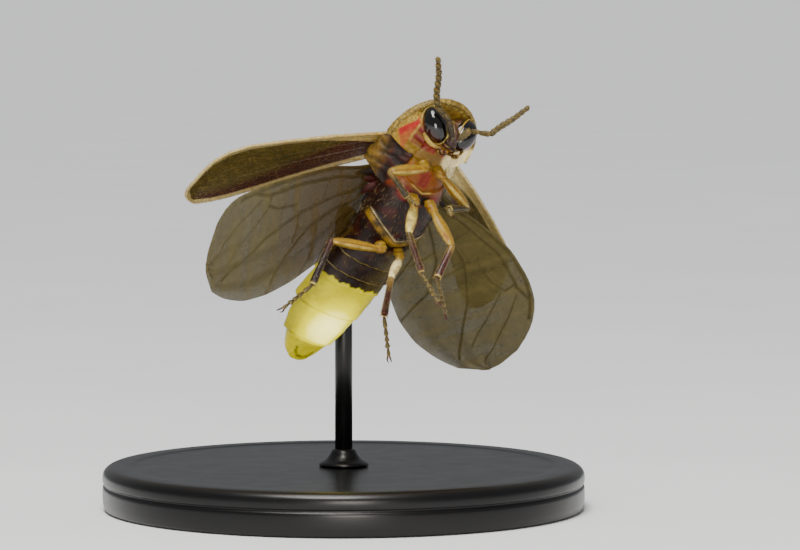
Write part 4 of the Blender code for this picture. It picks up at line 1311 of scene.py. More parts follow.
@dataclass
class Leg:
    """One leg from its base to its claws; each long part has a direction and a length."""

    pair: str
    side: Side
    hip: Triple
    femur: tuple[Triple, float]
    tibia: tuple[Triple, float]
    tarsus: tuple[Triple, float]
    femur_tone: Tone = Tone.GOLD
    # Painted light on the thigh's narrow rims: a pale painted highlight on most legs, painted shade where this tone
    # is darker than the thigh's own.
    rim_shading_tone: Tone = Tone.PALE
    shin_top: Tone = Tone.TAN
    shin_low: Tone = Tone.MAROON
    coxa_radius: float = 0.27
    femur_radius: float = 0.265
    tibia_radius: float = 0.155
    tarsus_radius: float = 0.125
    tarsus_shares: tuple[float, ...] = (0.30, 0.19, 0.15, 0.15, 0.21)
    claw_length: float = 0.30
    flat_axis: Triple = (0.2, 0.9, 0.3)

    def way(self, part: tuple[Triple, float]) -> Vector:
        """The full stretch of one long part."""
        return self.side.point(part[0]).normalized() * part[1]

    def dress(self, piece: Piece, start: Vector, stretch: Vector, paint: Paint, down: Mask) -> Piece:
        """Writes paint, down and lie along one part."""
        fine = mottle(piece.points(), 8.0, 2.0)
        paint.shade(1.0 + 0.22 * fine)
        piece.mark("tint", paint.coats)
        piece.mark("down", np.broadcast_to(down, (paint.count,)))
        piece.mark("lie", np.tile(np.array(stretch.normalized()), (paint.count, 1)))
        return piece

    def share(self, piece: Piece, start: Vector, stretch: Vector) -> Mask:
        """How far along a part each vertex lies, from 0 to 1."""
        rel = piece.points() - np.array(start)
        return rel @ np.array(stretch) / stretch.length_squared

    def coxa(self, hip: Vector) -> Piece:
        """The leg's ridged base, which comes out of the body and bends to carry the thigh."""
        way = self.way(self.femur).normalized()
        path = [hip + Vector((0.0, 0.0, up)) for up in (0.55, 0.30, 0.08)]
        path += [hip + way * along for along in (0.16, 0.32, 0.46)]
        sizes = [self.coxa_radius * k for k in (0.95, 1.0, 0.96, 0.86, 0.66, 0.5)]
        base = skin_path("coxa", path, sizes, 16, 0.9, self.flat_axis).refine(2)
        points = base.points()
        ridges = np.sin(points @ np.array((7.0, 16.0, 20.0)) + 3.0 * mottle(points, 2.0, 4.0))
        base.press(0.014 * ridges + 0.012 * mottle(points, 9.0, 1.0))
        paint = Paint(len(points), Tone.GOLD).lay(Tone.TAN, 0.6 * rise(ridges, 0.2, -0.8))
        paint.lay(Tone.RUST, 0.45 * rise(mottle(points, 4.5, 9.0), 0.15, 0.45))
        return self.dress(base, hip, way, paint, np.full(len(points), 0.12))

    def thigh(self, hip: Vector) -> Piece:
        """The thick flattened thigh, with painted light along its narrow rims."""
        stretch = self.way(self.femur)
        path = [hip + stretch * t for t in (0.10, 0.17, 0.30, 0.5, 0.7, 0.86, 0.95, 1.0)]
        sizes = [self.femur_radius * k for k in (0.60, 0.74, 0.92, 1.08, 1.02, 0.82, 0.64, 0.42)]
        thigh = skin_path("thigh", path, sizes, 14, 0.72, self.flat_axis).refine(2)
        share = self.share(thigh, hip, stretch)
        points, normals = thigh.points(), thigh.normals()
        groove = band(normals[:, 2], -0.55, 0.04, 0.12) * band(share, 0.55, 0.3, 0.1)
        thigh.press(0.012 * mottle(points, 6.0, 3.0) - 0.03 * groove)
        paint = Paint(len(points), self.femur_tone)
        # Painted highlight along the thigh's narrow rims; where the rim tone is darker than the thigh, it is
        # painted shade.
        edge = np.abs(normals @ np.array(Vector(self.flat_axis).normalized()))
        paint.lay(self.rim_shading_tone, 0.6 * rise(edge, 0.55, 0.1))
        paint.lay(Tone.TAN, 0.7 * rise(mottle(points, 2.5, 7.0), 0.0, 0.45))
        paint.lay(Tone.GOLD, 0.8 * rise(share, 0.36, 0.16))
        paint.lay(Tone.RUST, 0.5 * groove)
        return self.dress(thigh, hip, stretch, paint, np.full(len(points), 0.3))

    def shin(self, knee: Vector) -> list[Piece]:
        """The shin with its knee, its pale end ring and two spurs."""
        stretch = self.way(self.tibia)
        path = [knee + stretch * t for t in (-0.06, 0.02, 0.10, 0.35, 0.65, 0.88, 0.96, 1.0)]
        sizes = [self.tibia_radius * k for k in (0.55, 1.0, 0.90, 0.92, 1.0, 1.16, 1.16, 0.7)]
        shin = skin_path("shin", path, sizes, 12, 0.85, self.flat_axis).refine(2)
        share = self.share(shin, knee, stretch)
        points = shin.points()
        shin.press(0.01 * mottle(points, 7.0, 5.0))
        paint = Paint(len(points), self.shin_low)
        paint.lay(self.shin_top, rise(share, 0.36, 0.04) * 0.8)
        paint.lay(Tone.UMBER, 0.6 * rise(mottle(points, 3.0, 2.0), 0.0, 0.4) * rise(share, 0.2, 0.4))
        paint.lay(Tone.PALE, 0.8 * band(share, 0.960, 0.012, 0.016))
        self.dress(shin, knee, stretch, paint, np.full(len(points), 1.0))
        pieces = [shin]
        end = knee + stretch
        across = stretch.cross(Vector(self.flat_axis)).normalized()
        for sign in (-1.0, 1.0):
            root = end - stretch.normalized() * 0.10 + across * (0.12 * sign)
            tip = end + stretch.normalized() * 0.13 + across * (0.20 * sign)
            spur = skin_path("spur", (root, root.lerp(tip, 0.5), tip), (0.03, 0.022, 0.005), 8)
            spur.refine(1)
            paint = Paint(len(spur.points()), Tone.TAN)
            pieces.append(self.dress(spur, root, tip - root, paint, np.zeros(paint.count)))
        return pieces

    def foot(self, ankle: Vector) -> list[Piece]:
        """Five foot joints, the fourth split in two lobes, and two claws."""
        stretch = self.way(self.tarsus)
        along = stretch.normalized()
        across = stretch.cross(Vector(self.flat_axis)).normalized()
        pieces, start = [], ankle
        for number, share in enumerate(self.tarsus_shares):
            end = start + stretch * share
            lobes = (-1.0, 1.0) if number == 3 else (0.0,)
            for lobe in lobes:
                shift = across * (0.075 * lobe)
                path = [start + shift * t + (end - start) * t for t in (-0.08, 0.1, 0.5, 0.85, 1.03)]
                wide = 0.78 if lobe else (0.8 if number == 4 else 1.0)
                sizes = [self.tarsus_radius * wide * k for k in (0.4, 0.62, 0.9, 1.1, 0.6)]
                joint = skin_path("joint", path, sizes, 10, 0.8, self.flat_axis).refine(1)
                place = self.share(joint, start, end - start)
                paint = Paint(len(joint.points()), Tone.OLIVE)
                paint.lay(self.shin_low, 0.55 * rise(place, 0.6, 0.1))
                paint.lay(Tone.PALE, 0.25 * rise(place, 0.80, 0.95))
                pieces.append(self.dress(joint, start, stretch, paint, np.full(paint.count, 0.5)))
            start = end
        up = along.cross(across).normalized()
        for sign in (-1.0, 1.0):
            hook = [start - along * 0.05 + across * (0.05 * sign),
                    start + along * (0.35 * self.claw_length) + across * (0.13 * sign) + up * 0.03,
                    start + along * (0.75 * self.claw_length) + across * (0.15 * sign),
                    start + along * self.claw_length + across * (0.10 * sign) - up * 0.06]
            claw = skin_path("claw", hook, (0.05, 0.042, 0.028, 0.006), 8).refine(1)
            paint = Paint(len(claw.points()), Tone.MAROON)
            pieces.append(self.dress(claw, start, along, paint, np.zeros(paint.count)))
        return pieces

    def build(self) -> None:
        """Builds and settles the leg and its down."""
        hip = self.side.point(self.hip)
        knee = hip + self.way(self.femur)
        ankle = knee + self.way(self.tibia)
        parts = [self.coxa(hip), self.thigh(hip)] + self.shin(knee) + self.foot(ankle)
        name = f"leg_{self.pair}_{self.side.word}"
        leg = join(f"{name}_skin", parts)
        down = Down(f"{name}_down", leg, 1100, 0.08, 0.0030, 0.45, 51)
        finish = Cuticle("leg_cuticle", roughness=0.33, mottling=0.25, mottle_scale=6.0,
                         grain_scale=24.0, grain_depth=0.02, coat=0.15, subsurface=0.1)
        settle(leg, f"{name}_skin", finish, (name,))
        down.settle("leg")


def read_outline(rows: Sequence[tuple[float, float]], places: Mask) -> Mask:
    """Reads an outline of place and value pairs, with its joins rounded."""
    table = np.array(rows)
    reach = 0.35 * (table[-1, 0] - table[0, 0]) / (len(table) - 1)
    reads = [np.interp(places + shift, table[:, 0], table[:, 1]) for shift in (-reach, 0.0, reach)]
    return 0.25 * reads[0] + 0.5 * reads[1] + 0.25 * reads[2]


@dataclass
class WingCase:
    """One thin arched wing case with a pale border."""

    side: Side
    rise_angle: float
    length: float = 9.3
    root: Triple = (1.02, 1.40, 1.05)
    sweep: float = 40.3
    thickness: float = 0.11
    camber: float = 0.24
    edge_roll: float = 0.16
    inner_end: float = -0.10
    fronts: tuple[tuple[float, float], ...] = (
        (-0.1, 1.0), (0.0, 1.22), (0.25, 1.72), (0.48, 2.06), (0.66, 2.26), (0.76, 2.18), (0.84, 1.90),
        (0.90, 1.50), (0.95, 1.05), (1.0, 0.72))
    rears: tuple[tuple[float, float], ...] = (
        (-0.1, 0.0), (0.0, 0.0), (0.3, -0.08), (0.5, -0.20), (0.65, -0.33), (0.8, -0.42), (0.88, -0.42),
        (0.94, -0.36), (1.0, -0.30))
    round_from: float = 0.955

    def ways(self) -> tuple[Vector, Vector, Vector]:
        """Unit directions: out along it, back across it, and up from it."""
        sweep, lift = math.radians(self.sweep), math.radians(self.rise_angle)
        span = self.side.point((math.cos(lift) * math.cos(sweep), -math.cos(lift) * math.sin(sweep),
                                math.sin(lift)))
        chord = self.side.point((-math.sin(sweep), -math.cos(sweep), 0.0))
        normal = span.cross(chord).normalized()
        return span, chord, normal if normal.z > 0 else -normal

    def surface(self, place: Mask, share: Mask) -> Points:
        """The arched middle surface, with its front edge rolled down."""
        span, chord, normal = (np.array(v) for v in self.ways())
        rear, width = self.borders(place)
        front = width * (1.0 - share)
        arch = self.camber * np.sin(math.pi * share) * np.minimum(1.0, width / 1.5)
        arch -= self.edge_roll * rise(front, 0.32, 0.0) * rise(place, 1.0, 0.9)
        arch += 0.05 * np.sin(place * 3.0 + share * 2.0)
        base = np.array(self.side.point(self.root))
        return (base + np.outer(self.place_of(place) * self.length, span)
                - np.outer(rear + width * share, chord) + np.outer(arch, normal))

    def place_of(self, share: Mask) -> Mask:
        """Place along the wing case, with rows closer together near its tip."""
        return self.inner_end + (1.0 - self.inner_end) * (1.0 - (1.0 - share) ** 1.35)

    def borders(self, share: Mask) -> tuple[Mask, Mask]:
        """The rear border and the width in front of it."""
        place = self.place_of(share)
        end = np.clip((place - self.round_from) / (1.0 - self.round_from), 0.0, 1.0)
        front, rear = (np.interp(place, *np.array(rows).T) for rows in (self.fronts, self.rears))
        middle = 0.5 * (front + rear)
        half = 0.5 * (front - rear) * np.sqrt(1.0 - 0.995 * end ** 2)
        return middle - half, 2.0 * half

    def build(self) -> None:
        """Builds, paints and settles the wing case."""
        name = f"wing_case_{self.side.word}"
        case = skin_grid(name, 110, 40, self.surface)
        case.modify("SOLIDIFY", thickness=self.thickness, offset=0.0)
        case.refine(1)
        points, normals = case.points(), case.normals()
        place, share = case.read("span_share", 1), case.read("chord_share", 1)
        width = self.borders(place)[1]
        place = self.place_of(place)
        front, back = width * (1.0 - share), width * share
        tip = self.length * (1.0 - place)
        edge = np.minimum(np.minimum(front, back), tip)
        fine = mottle(points, 8.0, 2.0)
        depth = 0.016 * band(edge, 0.02, 0.03, 0.04) + 0.008 * fine
        for line in (0.30, 0.52, 0.72):
            depth += 0.022 * band(share, line, 0.004, 0.018) * rise(place, 0.02, 0.2) * rise(place, 0.95, 0.7)
        case.press(depth)
        self.paint(case, points, normals, place, front, back, tip)
        down = Down(f"{name}_down", case, 6500, 0.09, 0.0028, 0.35, 61)
        finish = Cuticle("wing_case_cuticle", roughness=0.45, mottling=0.22, mottle_scale=5.0,
                         grain_scale=20.0, grain_depth=0.02, pit_scale=12.0, pit_depth=0.01,
                         coat=0.15, subsurface=0.2)
        settle(case, name, finish, (f"elytron_{self.side.word}",))
        down.settle("elytron")

    def paint(self, case: Piece, points: Points, normals: Points, place: Mask, front: Mask,
              back: Mask, tip: Mask) -> None:
        """Olive field, dark stripe inside the rear border, pale borders all round."""
        up = np.array(self.ways()[2])
        upper = rise(normals @ up, -0.1, 0.1)
        blotch = mottle(points, 1.5, 3.0)
        fine = mottle(points, 9.0, 5.0)
        paint = Paint(len(points), Tone.OLIVE)
        paint.lay(Tone.OLIVE_DARK, 0.35 * rise(blotch, -0.1, 0.5))
        paint.lay(Tone.TAN, 0.22 * rise(fine, 0.1, 0.5))
        stripe = 0.30 + 1.0 * (1.0 - place) ** 2
        paint.lay(Tone.MAROON, 0.85 * rise(back, stripe + 0.35, stripe - 0.05) * rise(place, 1.0, 0.9))
        paint.lay(Tone.UMBER, 0.6 * rise(place, 0.22, 0.05))
        paint.lay(Tone.UMBER, 0.45 * upper)
        shoulder = 0.40 * rise(place, 0.40, 0.0)
        pale = np.maximum(rise(front - shoulder, 0.36, 0.28), rise(back, 0.20, 0.14))
        pale = np.maximum(pale, rise(tip, 0.22, 0.12))
        paint.lay(Tone.CREAM, 0.66 * pale)
        ridges = 0.5 + 0.5 * np.sin(front * 34.0)
        paint.lay(Tone.GOLD, pale * (0.25 + 0.4 * rise(fine, 0.0, 0.5) + 1.6 * shoulder * ridges))
        if self.side is Side.LEFT:
            paint.lay(Tone.CREAM, 0.7 * (1 - upper) * rise(place, 0.34, 0.10))
        paint.shade(1.0 + 0.15 * fine)
        case.mark("tint", paint.coats)
        case.mark("down", 0.5 + 0.5 * rise(np.minimum(front, back), 0.4, 0.0))
        case.mark("lie", np.tile(np.array(self.ways()[0]), (len(points), 1)))


@dataclass
class HindWing:
    """One smoky hind wing with raised veins and soft pleats.

    Vein points are a share of the wing's length and a share back across it.
    """

    side: Side
    span: Triple
    chord: Triple
    near_tone: Tone
    far_tone: Tone
    veil: float = 0.82
    length: float = 9.6
    root: Triple = (1.82, 0.50, 0.36)
    thickness: float = 0.045
    vein_height: float = 0.032
    leading: tuple[tuple[float, float], ...] = (
        (0.0, -0.35), (0.1, -0.62), (0.2, -1.20), (0.42, -2.00), (0.6, -2.12), (0.72, -1.95),
        (0.82, -1.45), (0.9, -0.75), (0.96, 0.05), (1.0, 0.45))
    trailing: tuple[tuple[float, float], ...] = (
        (0.0, 0.60), (0.035, 1.40), (0.10, 2.45), (0.16, 3.05), (0.28, 3.65), (0.45, 4.18), (0.6, 4.35),
        (0.74, 4.17), (0.86, 3.60), (0.94, 2.95), (1.0, 2.35))
    veins: tuple[tuple[tuple[tuple[float, float], ...], float], ...] = (
        (((0.0, 0.03), (0.3, 0.015), (0.6, 0.02), (0.80, 0.04)), 0.075),
        (((0.0, 0.22), (0.15, 0.13), (0.42, 0.09), (0.62, 0.10), (0.70, 0.04)), 0.070),
        (((0.60, 0.10), (0.62, 0.19), (0.55, 0.25), (0.44, 0.27)), 0.045),
        (((0.0, 0.45), (0.14, 0.34), (0.40, 0.36), (0.62, 0.48), (0.80, 0.66), (0.90, 0.82)), 0.055),
        (((0.02, 0.6), (0.16, 0.48), (0.34, 0.55), (0.50, 0.72), (0.60, 0.99)), 0.050),
        (((0.05, 0.7), (0.16, 0.60), (0.28, 0.72), (0.40, 0.99)), 0.040),
        (((0.06, 0.8), (0.15, 0.72), (0.22, 0.82), (0.27, 0.99)), 0.035),
        (((0.24, 0.11), (0.27, 0.34)), 0.032), (((0.42, 0.37), (0.45, 0.64)), 0.032),
        (((0.30, 0.53), (0.33, 0.78)), 0.028),
        (((0.66, 0.12), (0.78, 0.24), (0.90, 0.40), (0.97, 0.6)), 0.030),
        (((0.62, 0.22), (0.74, 0.40), (0.86, 0.62)), 0.028),
    )

    def ways(self) -> tuple[Points, Points, Points]:
        """Unit directions: out along it, back across it, and up from it."""
        span = self.side.point(self.span).normalized()
        chord = self.side.point(self.chord).normalized()
        normal = span.cross(chord).normalized()
        return np.array(span), np.array(chord), np.array(normal if normal.z > 0 else -normal)

    def surface(self, place: Mask, share: Mask) -> Points:
        """The cambered and pleated middle surface."""
        span, chord, normal = self.ways()
        lead, trail = read_outline(self.leading, place), read_outline(self.trailing, place)
        round_off = 1.0 - np.sqrt(np.clip((1.0 - place) / 0.05, 0.0, 1.0))
        lead, trail = lead + 0.45 * (trail - lead) * round_off, trail - 0.45 * (trail - lead) * round_off
        lift = 0.25 * np.sin(math.pi * place) * (1.0 - share)
        lift += 0.045 * np.sin(share * 30.0 - place * 9.0) * rise(share, 0.25, 0.6) * rise(place, 0.0, 0.3)
        lift += 0.05 * np.sin(place * 11.0) * share
        base = np.array(self.side.point(self.root))
        return (base + np.outer(place * self.length, span)
                + np.outer(lead + (trail - lead) * share, chord) + np.outer(lift, normal))

    def vein_reach(self, points: Points) -> Mask:
        """Nearness of each point to a vein: 1 on its middle, 0 beyond its width."""
        near = np.zeros(len(points))
        for line, width in self.veins:
            table = np.array(line)
            steps = np.linspace(0.0, len(table) - 1.0, 160)
            places = np.interp(steps, np.arange(len(table)), table[:, 0])
            shares = np.interp(steps, np.arange(len(table)), table[:, 1])
            for _ in range(2):
                places[1:-1] = 0.25 * places[:-2] + 0.5 * places[1:-1] + 0.25 * places[2:]
                shares[1:-1] = 0.25 * shares[:-2] + 0.5 * shares[1:-1] + 0.25 * shares[2:]
            spots = self.surface(places, shares)
            gap = np.full(len(points), 1e9)
            for spot_place in spots:
                gap = np.minimum(gap, ((points - spot_place) ** 2).sum(1))
            near = np.maximum(near, 1.0 - rise(np.sqrt(gap), 0.4 * width, 1.5 * width))
        return near

    def build(self) -> None:
        """Builds, paints and settles the wing."""
        name = f"hind_wing_{self.side.word}"
        wing = skin_grid(name, 210, 96, self.surface)
        near = self.vein_reach(wing.points())
        wing.mark("vein", near)
        wing.modify("SOLIDIFY", thickness=self.thickness, offset=0.0)
        points = wing.points()
        near = wing.read("vein", 1)
        place, share = wing.read("span_share", 1), wing.read("chord_share", 1)
        wing.press(self.vein_height * near + 0.003 * mottle(points, 8.0, 1.0))
        streaks = mottle(np.stack([place * 26.0, share * 1.5, place * 0.0], 1), 1.0, 4.0)
        cloud = mottle(points, 0.8, 6.0)
        paint = Paint(len(points), self.near_tone)
        paint.lay(self.far_tone, rise(place + 0.1 * cloud, 0.25, 0.75))
        paint.shade(1.0 + 0.22 * streaks + 0.15 * cloud)
        paint.lay(Tone.OLIVE_DARK, 0.5 * np.maximum(near, rise(place, 0.14, 0.0)))
        wing.mark("tint", paint.coats)
        veil = self.veil + 0.06 * streaks + 0.05 * cloud - 0.12 * rise(share, 0.85, 1.0)
        wing.mark("veil", np.clip(veil + 0.14 * near, 0.0, 1.0))
        finish = Cuticle("hind_wing_film", roughness=0.40, roughness_spread=0.08, mottling=0.14,
                         mottle_scale=4.0, grain_scale=8.0, grain_depth=0.01, coat=0.05,
                         coat_roughness=0.2, specular=0.12, veiled=True)
        settle(wing, name, finish, (f"wing_{self.side.word}",))


@dataclass
class WingRoots:
    """The folded skin and the horny knuckles that join wings and wing cases to the body.

    The skin runs from the upper edge, under the wing case, to the lower edge on the
    thorax; both are given for the right side, front end first.
    """

    upper: tuple[Triple, ...] = ((1.80, 2.72, 0.60), (1.98, 2.15, 0.90), (2.08, 1.60, 1.02), (2.12, 0.95, 1.00))
    lower: tuple[Triple, ...] = ((0.95, 2.42, -0.50), (1.10, 1.95, -0.62), (1.30, 1.40, -0.70), (1.42, 0.60, -0.70))
    bulge: float = 0.22
    fold_depth: float = 0.018

    def skin(self, side: Side) -> Piece:
        """The folded skin of one side."""
        upper, lower = np.array(self.upper), np.array(self.lower)
        knots = np.linspace(0.0, 1.0, len(upper))

        def surface(back: Mask, down: Mask) -> Points:
            high, low = (np.stack([np.interp(back, knots, rows[:, k]) for k in range(3)], 1)
                         for rows in (upper, lower))
            points = high + (low - high) * down[:, None]
            points[:, 0] += self.bulge * np.sin(math.pi * down) * rise(back, -0.1, 0.3)
            points[:, 0] *= side.value
            return points

        skin = skin_grid("wing_skin", 44, 40, surface)
        skin.modify("SOLIDIFY", thickness=0.08, offset=0.0)
        skin.refine(1)
        points = skin.points()
        back, down = skin.read("span_share", 1), skin.read("chord_share", 1)
        folds = np.sin(back * 26.0 + down * 7.0 + 4.0 * mottle(points, 1.6, 3.0))
        fine = mottle(points, 7.0, 5.0)
        blotch = mottle(points, 2.6, 8.0)
        skin.press(self.fold_depth * folds + 0.03 * blotch + 0.015 * fine)
        paint = Paint(len(points), Tone.UMBER).lay(Tone.MAROON, 0.6 * rise(blotch + 0.2 * folds, -0.2, 0.5))
        outer = rise(np.abs(points[:, 0]) + 0.1 * blotch, 1.65, 2.25)
        paint.lay(Tone.TAN, outer * (0.55 + 0.15 * folds))
        if side is Side.LEFT:
            paint.lay(Tone.CREAM, 0.85 * rise(back, 0.75, 0.35))
        skin.mark("tint", paint.shade(1.0 + 0.3 * fine).coats)
        return skin

    def knuckle(self, path: Sequence[Triple], radii: Sequence[float], side: Side, tone: Tone) -> Piece:
        """One bent knuckle."""
        piece = skin_path("knuckle", [side.point(p) for p in path], radii, 12, 0.7).refine(1)
        fine = mottle(piece.points(), 6.0, 3.0)
        piece.press(0.02 * fine)
        paint = Paint(len(fine), tone).lay(Tone.UMBER, 0.5 * rise(fine, 0.0, 0.5))
        return piece.mark("tint", paint.coats)

    def build(self) -> None:
        """Builds and settles both sides."""
        pieces = []
        for side in Side:
            pieces.append(self.skin(side))
            pieces.append(self.knuckle(((1.15, 0.75, 0.25), (1.60, 0.70, 0.35), (2.05, 0.50, 0.30),
                                        (2.60, 0.20, 0.16)), (0.26, 0.24, 0.18, 0.07), side, Tone.UMBER))
            pieces.append(self.knuckle(((1.20, 0.20, 0.25), (1.70, 0.25, 0.35), (2.10, 0.10, 0.28)),
                                       (0.30, 0.22, 0.08), side, Tone.MAROON))
            pieces.append(self.knuckle(((1.20, 0.25, -0.05), (1.70, 0.12, -0.16), (1.80, -0.50, 0.02)),
                                       (0.28, 0.26, 0.12), side, Tone.MAROON))
            pieces.append(self.knuckle(((1.10, -0.02, -0.06), (1.44, -0.36, -0.08), (1.46, -0.95, -0.02)),
                                       (0.24, 0.22, 0.10), side, Tone.UMBER))
        finish = Cuticle("wing_root_cuticle", roughness=0.48, mottling=0.3, mottle_scale=6.0,
                         grain_depth=0.02, specular=0.25)
        settle(join("wing_roots", pieces), "wing_roots", finish)


@dataclass(frozen=True)
class SatinBrass:
    """Black coated brass, satin, with faint turning marks and brassy worn edges."""

    name: str = "stand_satin"

    def material(self) -> bpy.types.Material:
        """Builds the stand's material, once."""
        found = bpy.data.materials.get(self.name)
        if found:
            return found
        shader = Shader(self.name)
        source = shader.node("ShaderNodeTexCoord")
        place = source.outputs["Object"]
        cloud = shader.cloud(place, 900.0, 0.32, 0.36)
        shader.link(cloud, shader.principled.inputs["Roughness"])
        tint = shader.node("ShaderNodeAttribute", attribute_name="tint")
        lighten = shader.node("ShaderNodeHueSaturation")
        shader.link(tint.outputs["Color"], lighten.inputs["Color"])
        shader.link(shader.cloud(place, 300.0, 0.95, 1.05), lighten.inputs["Value"])
        shader.link(lighten.outputs["Color"], shader.principled.inputs["Base Color"])
        rings = shader.node("ShaderNodeTexWave", wave_type="RINGS", rings_direction="Z",
                            Scale=900.0, Distortion=0.4)
        shader.link(place, rings.inputs["Vector"])
        bump = shader.node("ShaderNodeBump", Strength=0.5, Distance=0.004 * MM)
        shader.link(rings.outputs["Fac"], bump.inputs["Height"])
        shader.link(bump.outputs["Normal"], shader.principled.inputs["Normal"])
        shader.set(Metallic=0.85, Coat_Weight=0.2, Coat_Roughness=0.2)
        return shader.material


@dataclass
class Stand:
    """The turned base and the bent rod that holds the insect by its back."""

    rim: tuple[tuple[float, float], ...] = (
        (10.55, 0.0), (10.85, 0.02), (10.95, 0.12), (10.96, 0.30), (11.0, 0.36), (11.0, 1.05),
        (10.97, 1.10), (10.90, 1.14), (10.90, 1.22), (10.97, 1.26), (11.0, 1.32), (11.0, 1.62),
        (10.95, 1.76), (10.82, 1.90), (10.66, 1.98), (10.50, 2.0), (9.80, 2.0), (9.70, 1.985),
        (9.62, 1.95), (9.50, 1.94), (5.0, 1.93), (1.40, 1.93))
    rod_radius: float = 0.40
    seat: Triple = (0.0, -2.9, 0.80)
    seat_depth: float = 0.42
    arm: float = 2.4
    bend_radius: float = 0.9

    def path(self) -> list[Vector]:
        """The rod's middle line in row millimetres, up from the base and over to the back."""
        to_row = Matrix.Translation(Vector(INSECT.place)) @ INSECT.turn().to_4x4()
        back = (INSECT.turn() @ Vector((0, 0, 1))).normalized()
        seat = to_row @ Vector(self.seat)
        elbow = seat + back * self.arm
        foot = Vector((elbow.x, elbow.y, 1.90))
        start = elbow + (foot - elbow).normalized() * self.bend_radius
        end = elbow + (seat - elbow).normalized() * self.bend_radius
        corner = []
        for i in range(13):
            t = i / 12
            corner.append(start * (1 - t) ** 2 + elbow * (2 * t * (1 - t)) + end * t ** 2)
        return [foot, foot.lerp(start, 0.5)] + corner + [seat - back * self.seat_depth]

    def paint(self, piece: Piece, edges: Mask) -> Piece:
        """Black coating, with a little brass where edges are worn."""
        paint = Paint(len(piece.points()), Tone.BLACK)
        paint.coats += 0.016
        paint.lay(Tone.GOLD, 0.05 * edges)
        return piece.mark("tint", paint.coats)

    def build(self) -> None:
        """Builds and settles base and rod."""
        rings = [oval(Vector((0, 0, z)), Vector((1, 0, 0)), Vector((0, 1, 0)), r, r, 96)
                 for r, z in self.rim]
        base = skin_rings("stand_base_turned", rings).refine(1)
        reach = np.hypot(base.points()[:, 0], base.points()[:, 1])
        self.paint(base, band(reach, 10.72, 0.05, 0.12) * rise(base.points()[:, 2], 1.7, 1.9))
        settle(base, "stand_base_turned", SatinBrass(), ("stand_base",), True)
        path = self.path()
        rod = skin_path("rod", path, [self.rod_radius] * len(path), 24, 1.0, (0, 1, 0.01))
        foot, top = path[0], path[-1]
        back = (path[-2] - path[-1]).normalized()
        levels = ((0.0, 1.15), (0.14, 1.15), (0.24, 1.08), (0.34, 0.80), (0.62, 0.62), (0.80, 0.56),
                  (0.86, 0.42))
        collar = [oval(foot + Vector((0, 0, z)), Vector((1, 0, 0)), Vector((0, 1, 0)), r, r, 48)
                  for z, r in levels]
        across = back.orthogonal().normalized()
        up = back.cross(across)
        cup = [oval(top + back * (self.seat_depth + z), across, up, r, r, 48)
               for z, r in ((-0.38, 0.30), (-0.20, 0.66), (-0.08, 0.74), (0.02, 0.72), (0.12, 0.60),
                            (0.26, 0.50), (0.30, 0.42))]
        pieces = [rod, skin_rings("collar", collar).refine(1), skin_rings("cup", cup).refine(1)]
        for piece in pieces:
            self.paint(piece, np.zeros(len(piece.points())))
        rod = join("stand_rod_bent", pieces)
        settle(rod, "stand_rod_bent", SatinBrass(), ("stand_rod",), True)


@dataclass
class Studio:
    """The pale floor, the soft lights and the camera, in row metres."""

    target: Triple = (0.002565, -0.003705, 0.010928)
    distance: float = 0.19841
    elevation: float = 4.0
    lens: float = 200.0
    floor_half: float = 12.0
    world_strength: float = 0.30

    def floor(self) -> None:
        """A plain pale floor with a faint uneven tone."""
        clear_bench()
        bpy.ops.mesh.primitive_plane_add(size=2.0 * self.floor_half)
        floor = bpy.context.object
        floor.name = "studio_floor"
        shader = Shader("studio_paper")
        source = shader.node("ShaderNodeTexCoord")
        tone = shader.cloud(source.outputs["Object"], 60.0, 0.86, 0.89)
        shader.link(tone, shader.principled.inputs["Base Color"])
        shader.set(Roughness=0.85)
        floor.data.materials.append(shader.material)

    def light(self, name: str, place: Triple, size: float, power: float, tone: Triple) -> None:
        """One soft square light that faces the insect."""
        data = bpy.data.lights.new(name, "AREA")
        data.size = size
        data.energy = power
        data.color = tone
        lamp = bpy.data.objects.new(name, data)
        bpy.context.scene.collection.objects.link(lamp)
        lamp.location = place
        away = Vector(place) - Vector((0.0025, -0.0035, 0.0145))
        lamp.rotation_euler = away.to_track_quat("Z", "Y").to_euler()

    def sun(self, strength: float, angles: Triple) -> None:
        """A broad even light from above, so that the far floor stays pale."""
        data = bpy.data.lights.new("ceiling", "SUN")
        data.energy = strength
        data.angle = math.radians(30.0)
        lamp = bpy.data.objects.new("ceiling", data)
        bpy.context.scene.collection.objects.link(lamp)
        lamp.rotation_euler = [math.radians(a) for a in angles]

    def world(self) -> None:
        """Even pale surroundings."""
        world = bpy.data.worlds.new("studio_air")
        world.use_nodes = True
        back = world.node_tree.nodes["Background"]
        back.inputs["Color"].default_value = (0.90, 0.92, 0.95, 1.0)
        back.inputs["Strength"].default_value = self.world_strength
        bpy.context.scene.world = world

    def camera(self) -> None:
        """The camera at the photo's angle and framing."""
        data = bpy.data.cameras.new("photo_view")
        data.lens = self.lens
        data.sensor_width = 36.0
        data.clip_start, data.clip_end = 0.005, 40.0
        camera = bpy.data.objects.new("photo_view", data)
        bpy.context.scene.collection.objects.link(camera)
        tilt = math.radians(self.elevation)
        back = Vector((0.0, -math.cos(tilt), math.sin(tilt)))
        camera.location = Vector(self.target) + back * self.distance
        camera.rotation_euler = (math.radians(90.0 - self.elevation), 0.0, 0.0)
        bpy.context.scene.camera = camera

    def build(self) -> None:
        """Sets up the studio."""
        self.floor()
        self.world()
        self.sun(2.3, (12.0, -8.0, 0.0))
        self.light("key", (-0.012, -0.085, 0.15), 0.058, 0.19, (1.0, 0.97, 0.92))
        self.light("fill", (0.01, -0.17, 0.030), 0.052, 0.12, (1.0, 0.95, 0.87))
        self.camera()


